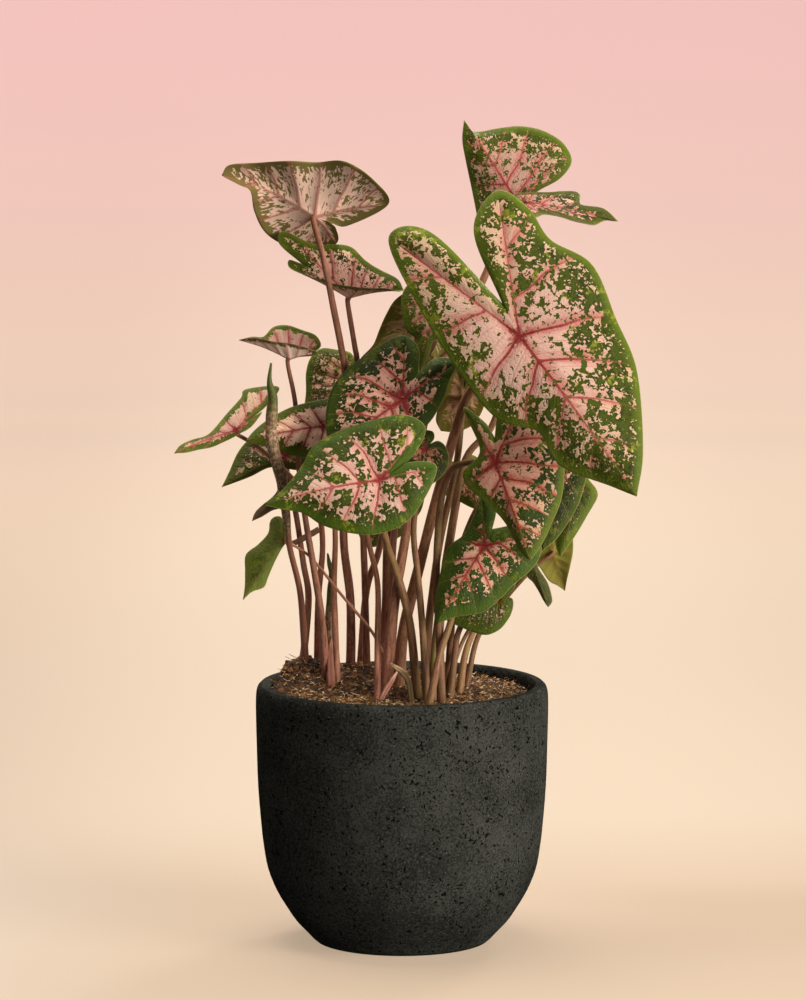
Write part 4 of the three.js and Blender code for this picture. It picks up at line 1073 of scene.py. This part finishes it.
looks = {
    "leaf_01": dict(reach=0.36, patch=0.95, dots=0.7, band=4, heart=13, vein=2.2, along=0.5, sunny=0.5,
                    tilt=-0.42, marks=0.88, pink=(194, 156, 138), cream=(178, 154, 106), rib=(120, 32, 27)),
    "leaf_02": dict(reach=0.24, patch=1.0, band=3, heart=6, along=0.45, pink=(172, 134, 116)),
    "leaf_03": dict(reach=0.35, patch=0.95, pink=(176, 142, 122), back=(166, 130, 108), green=(50, 52, 12),
                    rimGreen=(72, 76, 20)),
    # leaf_04's underside gets paler back colours than its own: painted light, for the light that shines
    # through the blade from above
    "leaf_04": dict(reach=0.46, patch=1.2, band=4, back=(255, 214, 188), backGreen=(128, 118, 62),
                    backRib=(168, 92, 76), backRibShare=0.65),
    "leaf_05": dict(reach=0.6, patch=1.1, green=(42, 52, 8), pink=(226, 176, 154), rib=(124, 32, 32),
                    back=(220, 172, 146), backGreen=(96, 92, 38)),
    "leaf_06": dict(reach=1.25, patch=1.0, back=(252, 220, 194), backGreen=(104, 96, 42),
                    backRib=(178, 92, 82)),
    "leaf_07": dict(reach=1.05, patch=0.9, band=4, green=(52, 60, 12), pink=(208, 166, 146)),
    "leaf_08": dict(reach=0.66, patch=1.0, dots=0.9, band=6, marks=0.8, pink=(250, 202, 170),
                    green=(48, 60, 7), back=(190, 150, 120)),
    "leaf_09": dict(reach=0.1, patch=0.9, green=(66, 72, 13), pink=(196, 174, 124), rimGreen=(80, 86, 22)),
    "leaf_10": dict(reach=0.02, patch=1.1, dots=0.7, marks=0.66, band=6, heart=30, vein=2.3, along=0.75,
                    green=(36, 48, 7), pink=(204, 152, 130), rimGreen=(54, 72, 14), blush=(138, 58, 48)),
    "leaf_11": dict(reach=0.12, patch=1.0, marks=0.8, dots=0.85, pink=(226, 178, 142), green=(62, 70, 10),
                    sunny=0.7),
    "leaf_12": dict(reach=-0.17, patch=0.9, dots=0.74, marks=0.74, band=6, pink=(192, 158, 140), heart=9,
                    along=0.95, green=(54, 64, 9), rimGreen=(64, 84, 16), creamy=0.3, blush=(188, 124, 108),
                    rib=(132, 42, 38), vein=1.6, sunny=0.5),
    "leaf_13": dict(reach=-0.15, patch=1.0, pink=(140, 106, 74), green=(30, 38, 4), rimGreen=(44, 53, 8)),
    # leaf_14's back colours are much paler than its own: painted light, for the light shining through it from
    # behind, lightened further as it stands in shade
    "leaf_14": dict(reach=0.3, patch=1.0, back=(236, 206, 152), backGreen=(150, 150, 62),
                    backRib=(196, 168, 110)),
    "leaf_15": dict(reach=0.25, patch=0.9, green=(74, 86, 20), pink=(192, 150, 112)),
    "leaf_16": dict(reach=0.3, patch=0.9, back=(186, 146, 104), backGreen=(112, 106, 36), backRibShare=0.3),
    "leaf_17": dict(reach=0.08, patch=1.0, dots=0.6, marks=0.85, heart=16, vein=2.2, along=0.8,
                    pink=(196, 144, 120), blush=(154, 70, 54), green=(42, 56, 10), rib=(122, 32, 26)),
    "leaf_18": dict(reach=-0.15, patch=0.95, marks=0.8, heart=16, vein=2.0, pink=(206, 160, 132),
                    blush=(160, 78, 62), green=(46, 64, 14), rimGreen=(62, 82, 20), rib=(124, 34, 28),
                    band=7, along=0.85),
    "leaf_19": dict(reach=-0.4, patch=0.8, green=(62, 72, 16), rimGreen=(68, 84, 22), dots=0.6),
    "leaf_20": dict(reach=-0.3, patch=0.8, green=(38, 46, 5), rimGreen=(58, 70, 9)),
    "leaf_21": dict(reach=-0.4, patch=0.8, green=(54, 64, 10)),
    "leaf_22": dict(reach=-0.5, patch=0.7, green=(96, 98, 20), rimGreen=(102, 102, 26), backRibShare=0.4,
                    backGreen=(140, 138, 56), back=(156, 138, 76), backRib=(142, 78, 52)),
    "leaf_23": dict(reach=-0.7, patch=0.4, dots=0, green=(46, 54, 20), rimGreen=(68, 70, 32)),
    "leaf_24": dict(reach=-0.9, patch=0.3, dots=-0.2, green=(80, 90, 24), rimGreen=(94, 104, 36), heart=4),
    "leaf_25": dict(reach=0.1, green=(64, 74, 20), pink=(186, 148, 106)),
    "leaf_26": dict(reach=0.1, green=(60, 70, 18), pink=(180, 138, 100)),
    "withered_leaf": dict(reach=0.1, patch=0.6, green=(90, 72, 50), rimGreen=(104, 82, 56),
                          pink=(130, 104, 80), rib=(84, 56, 44), blush=(104, 76, 60), back=(110, 88, 64),
                          backGreen=(88, 70, 50)),
}


# How fine the marks are, from large patches to the blade's grain; larger numbers make finer marks. On a
# blade shorter than fullSize they shrink with it, at most to the least share.
marksScale = dict(coarse=8.5, middle=21, small=58, sunny=9.0, cells=38.0, fullSize=75, least=0.5)
backScale = dict(coarse=9, middle=27, small=46)
fineScale = 150


def faceMaterialOf(name, look, seed, size):
    material, tree, shader = newMaterial(name + "_face", 0.5, specular=0.09)
    uv = flowMap(tree)
    rib, twig, edge, fromHub = (readAttribute(tree, key) for key in ("rib", "twig", "edge", "fromHub"))
    share = maths(tree, "DIVIDE", fromHub, total(tree, fromHub, edge, 0.001))
    place = objectPlace(tree)
    spot = stretched(tree, place, (10.0, 10.0, 10.0))  # in decimetres, as the flow map
    along = stretched(tree, uv, (1.0, 0.82, 1.0))
    coarse = noiseValue(tree, along, marksScale["coarse"] / size, seed, 2, 0.55, 0.7)
    middleScale, smallScale = (marksScale[key] * look["marks"] / size for key in ("middle", "small"))
    middle = noiseValue(tree, spot, middleScale, seed + 20, 2, 0.55, 0.7)
    small = noiseValue(tree, spot, smallScale, seed + 40, 1, 0.5, 0.6)
    fine = noiseValue(tree, uv, fineScale, seed + 60, 3, 0.7)
    nearRib = maths(tree, "EXPONENT", times(tree, rib, -1 / (7.5 * size)))
    plainBand = fadeStep(tree, edge, look["band"] * 0.35, look["band"] * 1.25)
    field = total(tree, look["reach"], times(tree, maths(tree, "POWER", share, 1.6), -0.95),
                  times(tree, nearRib, look["along"]), around(tree, coarse, 1.7))
    if look["tilt"]:  # more pink towards one side of the blade
        sideways = addNode(tree, "ShaderNodeSeparateXYZ", {0: spot}).outputs["X"]
        field = total(tree, field, times(tree, sideways, look["tilt"]), -0.7 * look["tilt"])
    marks = total(tree, around(tree, middle, 3.8), around(tree, small, 2.2))
    spread = total(tree, field, times(tree, marks, look["patch"]), times(tree, plainBand, -1.6))
    dots = total(tree, around(tree, small, 4.2), around(tree, coarse, 0.9), around(tree, middle, 0.8),
                 look["dots"] - 1.25, times(tree, plainBand, -0.7))
    pale = maths(tree, "MAXIMUM", blendStep(tree, spread, -0.03, 0.05), blendStep(tree, dots, -0.04, 0.08))
    # greens: blotched in the middle, lighter along the edge
    blotch = blendStep(tree, total(tree, around(tree, middle, 2.0), fine), 0.3, 0.75)
    green = mixColor(tree, blotch, tint(look["green"]), darker(look["green"], 0.62))
    rim = fadeStep(tree, edge, 0.4, look["band"] + 4)
    green = mixColor(tree, rim, green, tint(look["rimGreen"]))
    light = total(tree, noiseValue(tree, spot, marksScale["sunny"], seed + 80, 1), around(tree, small, 0.6))
    sunny = blendStep(tree, light, 0.6, 0.7)
    green = layered(tree, green, sunny, look["sunny"], tint(look["fleck"]))
    # pinks: pale in the middle of a patch, creamy towards the edge, rosy beside the ribs
    outer = blendStep(tree, share, 0.55, 1.0)
    cream = layered(tree, tint(look["pink"]), outer, look["creamy"], tint(look["cream"]))
    rosy = total(tree, times(tree, nearRib, 0.8), around(tree, coarse, -1.2), around(tree, fine, 0.6))
    pink = mixColor(tree, blendStep(tree, rosy, 0.2, 1.0), cream, tint(look["blush"]))
    halo = fadeStep(tree, spread, 0.05, 0.22)
    pink = layered(tree, pink, halo, 0.22, tint(look["halo"]))
    color = mixColor(tree, pale, green, pink)
    # finer veins, then the ribs with their feathered edges
    twigWidth = total(tree, 0.28 * size, around(tree, fine, 0.5))
    onTwig = fadeStep(tree, maths(tree, "SUBTRACT", twig, twigWidth), -0.1, 0.5)
    twigTone = mixColor(tree, pale, tint(look["greenTwig"]), tint(look["blush"]))
    twigShare = total(tree, times(tree, pale, 0.24), 0.06)
    color = layered(tree, color, onTwig, twigShare, twigTone)
    ribWidth = total(tree, look["vein"] * 0.36 * size, times(tree, share, -0.27 * look["vein"] * size),
                     around(tree, small, 1.0), around(tree, fine, 0.5))
    onRib = fadeStep(tree, maths(tree, "SUBTRACT", rib, ribWidth), -0.1, 0.5)
    farOut = blendStep(tree, share, 0.35, 0.95)
    rosyRib = layered(tree, tint(look["rib"]), farOut, 0.6, tint(look["blush"]))
    inPink = maths(tree, "MAXIMUM", pale, blendStep(tree, field, 0.1, 0.5))
    ribTone = mixColor(tree, inPink, tint(look["greenRib"]), rosyRib)
    ribShare = total(tree, 0.5, times(tree, blendStep(tree, field, -0.3, 0.3), 0.4))
    color = layered(tree, color, onRib, ribShare, ribTone)
    # the crimson star round the hub
    star = total(tree, times(tree, fromHub, -1 / (look["heart"] * size)), nearRib,
                 around(tree, middle, 1.6), around(tree, small, 1.0))
    inStar = blendStep(tree, star, 0.1, 0.62)
    color = layered(tree, color, inStar, 0.85, darker(look["rib"], 0.9))
    # a pale line along the very edge: partly the blade's pale margin, partly a painted highlight where the
    # edge catches the light
    line = fadeStep(tree, edge, 0.2, 0.65)
    color = layered(tree, color, line, 0.55, tint(look["edgeLineAndHighlight"]))
    paintWith(tree, shader, color)
    cells = addNode(tree, "ShaderNodeTexVoronoi", {"Vector": along, "Scale": marksScale["cells"]},
                    feature="DISTANCE_TO_EDGE").outputs["Distance"]
    height = total(tree, times(tree, blendStep(tree, cells, 0.0, 0.2), 0.6),
                   times(tree, fine, 0.3), times(tree, onTwig, -0.6))
    addBump(tree, shader, height, distance=0.0004, strength=0.6)
    return material


def backMaterialOf(name, look, seed, size):
    material, tree, shader = newMaterial(name + "_back", 0.62, specular=0.07)
    uv = flowMap(tree)
    rib, twig, edge, fromHub = (readAttribute(tree, key) for key in ("rib", "twig", "edge", "fromHub"))
    share = maths(tree, "DIVIDE", fromHub, total(tree, fromHub, edge, 0.001))
    along = stretched(tree, uv, (1.0, 0.6, 1.0))
    coarse = noiseValue(tree, along, backScale["coarse"] / size, seed, 2, 0.55, 0.6)
    middle = noiseValue(tree, along, backScale["middle"] / size, seed + 20, 3, 0.65, 0.8)
    fine = noiseValue(tree, uv, fineScale, seed + 60, 3, 0.7)
    nearRib = maths(tree, "EXPONENT", times(tree, rib, -1 / (6 * size)))
    plainBand = fadeStep(tree, edge, look["band"] * 0.3, look["band"] * 1.2)
    longer = stretched(tree, uv, (1.0, 0.42, 1.0))
    small = noiseValue(tree, longer, backScale["small"] / size, seed + 40, 2, 0.5, 0.6)
    spread = total(tree, times(tree, maths(tree, "POWER", share, 1.6), -0.9), look["reach"],
                   times(tree, nearRib, 0.35), around(tree, coarse, 1.6),
                   around(tree, middle, 2.6 * look["patch"]), around(tree, small, 3.0 * look["patch"]),
                   times(tree, plainBand, -1.2))
    inPink = blendStep(tree, spread, -0.05, 0.1)
    pale = mixColor(tree, blendStep(tree, total(tree, fine, around(tree, coarse, 1.0)), 0.2, 0.9),
                    tint(look["back"]), darker(look["back"], 0.84))
    green = mixColor(tree, fine, tint(look["backGreen"]), darker(look["backGreen"], 0.78))
    color = mixColor(tree, inPink, green, pale)
    width = total(tree, 1.25 * size, times(tree, share, -0.8 * size), around(tree, fine, 0.5))
    onRib = fadeStep(tree, maths(tree, "SUBTRACT", rib, width), -0.1, 0.5)
    color = layered(tree, color, onRib, look["backRibShare"], tint(look["backRib"]))
    color = layered(tree, color, nearRib, 0.2 * look["backRibShare"], tint(look["backRib"]))
    paintWith(tree, shader, color)
    addBump(tree, shader, total(tree, fine, times(tree, middle, 0.5)), distance=0.0003, strength=0.5)
    return material


for number, (name, leaf) in enumerate(leaves.items()):
    look = {**plainLook, **looks.get(name, {})}
    bladeLength = math.dist(leaf["tip"][:2], (leaf["hub"][0], leaf["hub"][2]))
    size = max(marksScale["least"], min(1.0, bladeLength / marksScale["fullSize"]))
    face = faceMaterialOf(name, look, 3.7 * number + 1, size)
    back = backMaterialOf(name, look, 3.7 * number + 2, size)
    piece = makeBlade(name + "_skin", leaf, face, back)
    if "stalk" in leaf:
        dress(piece, "blade", name + "_blade")
    else:
        dress(piece, "withered", name)
print("blades ready")

# rooted: mm that a stalk goes on below its first point; flare: how much wider its foot is, up to
# flareHeight; rosyFrom, rosyOver: stalks are rosy at the left of the pot and brown at the right.
stalks = dict(
    sides=12, parts=7, rooted=20, flare=0.2, flareHeight=24, footTone=(165, 225), rosyFrom=8, rosyOver=24,
    rose=(168, 114, 88), dusk=(136, 90, 66), foot=(172, 116, 96), streak=(84, 54, 38), moss=(132, 122, 54),
    bark=(138, 108, 64), lighter={"leaf_04": 1.0, "leaf_05": 0.95, "leaf_02": 1.12, "leaf_06": 0.95},
    mossy=("leaf_21", "leaf_22", "leaf_24", "leaf_15", "leaf_03", "leaf_20"),
    mossFull=0.75, mossFaint=0.12, lightness=(0.9, 1.16),
)


def stalkMaterial(name, seed, lightness, mossy, rosy):
    material, tree, shader = newMaterial(name + "_rind", 0.5, specular=0.15)
    uv = flowMap(tree)
    height = heightOf(tree)
    streaks = noiseValue(tree, stretched(tree, uv, (4.0, 2.6, 1.0)), 3.4, seed, 4, 0.7)
    dashes = noiseValue(tree, stretched(tree, uv, (6.0, 8.0, 1.0)), 4.0, seed + 9, 3, 0.6)
    cloud = noiseValue(tree, stretched(tree, uv, (1.0, 1.6, 1.0)), 2.2, seed + 4, 2)
    mottle = noiseValue(tree, stretched(tree, uv, (3.0, 24.0, 1.0)), 3.0, seed + 15, 2, 0.6)

    def toned(color):
        return tint(min(255, c * lightness) for c in color)

    color = mixColor(tree, blendStep(tree, cloud, 0.35, 0.68), toned(stalks["rose"]), toned(stalks["dusk"]))
    low = fadeStep(tree, height, *(z * mm for z in stalks["footTone"]))
    layers = [  # where, how strong, and the tone
        (blendStep(tree, cloud, 0.25, 0.55), 0.8 - 0.8 * rosy, toned(stalks["bark"])),
        (low, 0.75 * rosy, toned(stalks["foot"])),
        (low, 0.35 - 0.35 * rosy, tint(stalks["streak"])),
        (blendStep(tree, mottle, 0.45, 0.7), 0.35, toned(stalks["streak"])),
        (blendStep(tree, streaks, 0.48, 0.62), 0.75, toned(stalks["streak"])),
        (blendStep(tree, dashes, 0.56, 0.66), 0.15 + 0.45 * rosy, toned(stalks["foot"])),
        (blendStep(tree, cloud, 0.56, 0.64), mossy, tint(stalks["moss"])),
    ]
    for where, share, tone in layers:
        color = layered(tree, color, where, share, tone)
    paintWith(tree, shader, color)
    addBump(tree, shader, streaks, distance=0.0004, strength=0.6)
    return material


def withRoot(line):  # the line, begun deeper in the soil
    points = [np.array(p, float) for p in line]
    down = points[0] - points[1]
    return [points[0] + down / np.linalg.norm(down) * stalks["rooted"], *points]


def makeStalk(name, leaf, seed):
    *_, up, hub, _ = bladeGrid(leaf)  # the stalk ends under its blade's hub
    base, top = leaf["stalkRadii"]
    neck = 0.75 + 0.35 * top
    line = [*withRoot(leaf["stalk"]), hub - up * (neck + 2.5 * top), hub - up * 0.3]
    places, centres = finely(line, stalks["parts"])
    radii = base + (top - base) * places / (len(line) - 1)
    above = np.maximum(centres[:, 2] - soil["level"], 0)
    radii = radii * (1 + stalks["flare"] * np.exp(-above / stalks["flareHeight"]))
    radii[-1] *= 0.8
    lightness = stalks["lighter"].get(name, random.Random(seed).uniform(*stalks["lightness"]))
    rosy = min(1, max(0, (stalks["rosyFrom"] - leaf["stalk"][0][0]) / stalks["rosyOver"]))
    mossy = stalks["mossFull"] if name in stalks["mossy"] else stalks["mossFaint"]
    material = stalkMaterial(name, seed, lightness, mossy, rosy)

    def ripple(k, turn):
        return 1 + 0.07 * noise.noise(Vector((math.cos(turn) * 1.6, math.sin(turn) * 1.6, k * 0.3 + seed)))

    piece = tubeMesh(name + "_petiole", centres * mm, radii * mm, stalks["sides"], material, ripple)
    dress(piece, "stalk", name + "_stalk")


for number, (name, leaf) in enumerate(leaves.items()):
    if "stalk" in leaf:
        makeStalk(name, leaf, 2.3 * number)
print("stalks ready")

shoots = {
    "rolled_leaf": dict(
        line=[(-60, 28, 165), (-61, 20, 190), (-63, 2, 218), (-68, -26, 246), (-69, -34, 257),
              (-71, -38, 275), (-73, -40, 292), (-77, -41, 308), (-79, -41, 321), (-78, -41, 340),
              (-80, -41, 351), (-79, -40, 362)],
        radii=[2.4, 2.2, 1.9, 1.8, 1.8, 3.0, 3.7, 3.7, 3.5, 3.2, 1.6, 0.6], rolledFrom=258, greenFrom=334,
    ),
    "rolled_leaf_small": dict(
        line=[(-44, 24, 162), (-44, 22, 176), (-45, 20, 190), (-44, 20, 209), (-43, 20, 224),
              (-45, 20, 232), (-46, 20, 238)],
        radii=[2.6, 2.5, 2.8, 2.9, 2.4, 1.3, 0.5], rolledFrom=180, greenFrom=206,
    ),
    "sprout": dict(
        line=[(6, -30, 152), (4, -26, 165), (0, -26, 171), (-4, -26, 174), (-7, -24, 176)],
        radii=[1.5, 1.9, 1.9, 1.4, 0.5], flat=0.45, tone=(116, 92, 60), pale=(206, 172, 130), paleFrom=173,
    ),
}
# Dry leftovers at the foot of the stalks: split sheaths, and the stub of a stalk that broke off.
leftovers = {
    "split_sheath": dict(
        line=[(-13, -28, 154), (-9.4, -28, 161), (-6, -28, 166.5), (-3, -27.3, 171.5)],
        radii=[1.5, 1.7, 1.5, 0.5], flat=0.4, tone=(180, 124, 104), pale=(220, 178, 148), paleFrom=168,
    ),
    "foot_sheath": dict(
        line=[(-43.5, 1.8, 152), (-44, 3, 165), (-44.2, 5, 176), (-43.4, 7, 187)],
        radii=[2.7, 2.7, 1.9, 0.4], flat=0.5, tone=(158, 104, 84), pale=(190, 142, 114), paleFrom=182,
    ),
    "old_stub": dict(
        line=[(-51, 4, 255), (-58, 4, 251), (-65, 5, 247), (-71, 5, 244.5)],
        radii=[1.9, 1.9, 1.8, 1.4], flat=0.9, tone=(128, 92, 66), pale=(160, 130, 100), paleFrom=400,
    ),
}
tubes = dict(rolledSides=24, rolledParts=10, huskSides=20, huskParts=12)
rolledSkin = dict(green=(84, 90, 34), deep=(46, 52, 22), mottle=(178, 144, 116), brown=(112, 80, 56),
                  foot=(160, 100, 82))


def rolledMaterial(name, rolledFrom, greenFrom, seed):
    material, tree, shader = newMaterial(name + "_rind", 0.5, specular=0.15)
    uv = flowMap(tree)
    height = heightOf(tree)
    bands = noiseValue(tree, stretched(tree, uv, (2.0, 9.0, 1.0)), 5.0, seed, 3, 0.6)
    spots = noiseValue(tree, stretched(tree, uv, (5.0, 9.0, 1.0)), 7.0, seed + 5, 3, 0.65)
    stem = mixColor(tree, bands, tint(rolledSkin["foot"]), tint(rolledSkin["brown"]))
    body = mixColor(tree, blendStep(tree, bands, 0.42, 0.58), tint(rolledSkin["mottle"]),
                    tint(rolledSkin["brown"]))
    body = mixColor(tree, blendStep(tree, spots, 0.5, 0.6), body, tint(rolledSkin["green"]))
    green = mixColor(tree, blendStep(tree, spots, 0.45, 0.62), tint(rolledSkin["green"]),
                     tint(rolledSkin["deep"]))
    rolled = blendStep(tree, height, rolledFrom * mm - 0.006, rolledFrom * mm + 0.006)
    greener = blendStep(tree, height, greenFrom * mm - 0.01, greenFrom * mm + 0.008)
    color = mixColor(tree, greener, mixColor(tree, rolled, stem, body), green)
    paintWith(tree, shader, color)
    addBump(tree, shader, bands, distance=0.0005, strength=0.6)
    return material


def makeShoot(name, shoot, seed):
    line = withRoot(shoot["line"])
    places, centres = finely(line, tubes["rolledParts"])
    radii = np.interp(places, range(len(line)), [shoot["radii"][0], *shoot["radii"]])
    seams = shoot["rolledFrom"]

    def ripple(k, turn):  # an outer edge wraps round the roll, and it has slight waists
        rolled = min(1, max(0, (centres[k][2] - seams) / 12))
        wrap = 0.16 * ((turn / (2 * math.pi) + centres[k][2] / 90) % 1)
        return 1 + rolled * (wrap - 0.08 + 0.05 * math.sin(centres[k][2] / 2.6))

    material = rolledMaterial(name, seams, shoot["greenFrom"], seed)
    piece = tubeMesh(name + "_skin", centres * mm, radii * mm, tubes["rolledSides"], material, ripple)
    dress(piece, "rolled", name)


def dryMaterial(name, husk, seed):
    material, tree, shader = newMaterial(name + "_dry", 0.6, specular=0.12)
    uv = flowMap(tree)
    height = heightOf(tree)
    grain = noiseValue(tree, stretched(tree, uv, (9.0, 2.0, 1.0)), 2.4, seed, 3, 0.7)
    pale = blendStep(tree, height, (husk["paleFrom"] - 3) * mm, (husk["paleFrom"] + 3) * mm)
    color = mixColor(tree, pale, tint(husk["tone"]), tint(husk["pale"]))
    color = layered(tree, color, blendStep(tree, grain, 0.45, 0.65), 0.7, darker(husk["tone"], 0.6))
    paintWith(tree, shader, color)
    addBump(tree, shader, grain, distance=0.0004, strength=0.7)
    return material


def makeHusk(name, husk, seed):  # a flattened strap
    places, centres = finely(husk["line"], tubes["huskParts"])
    radii = np.interp(places, range(len(husk["line"])), husk["radii"])

    def flatten(k, turn):
        crinkle = 1 + 0.14 * noise.noise(Vector((math.cos(turn) * 2, math.sin(turn) * 2, k * 0.25 + seed)))
        return crinkle * math.hypot(husk["flat"] * math.cos(turn), math.sin(turn))

    material = dryMaterial(name, husk, seed)
    return tubeMesh(name + "_husk", centres * mm, radii * mm, tubes["huskSides"], material, flatten)


for number, (name, shoot) in enumerate(shoots.items()):
    if name == "sprout":
        dress(makeHusk(name, shoot, 3.3), "sprout", name)
    else:
        makeShoot(name, shoot, 5.1 * number + 2)
for number, (name, husk) in enumerate(leftovers.items()):
    dress(makeHusk(name, husk, 7.7 + number), "withered" if name == "old_stub" else "sprout")
print("shoots ready")
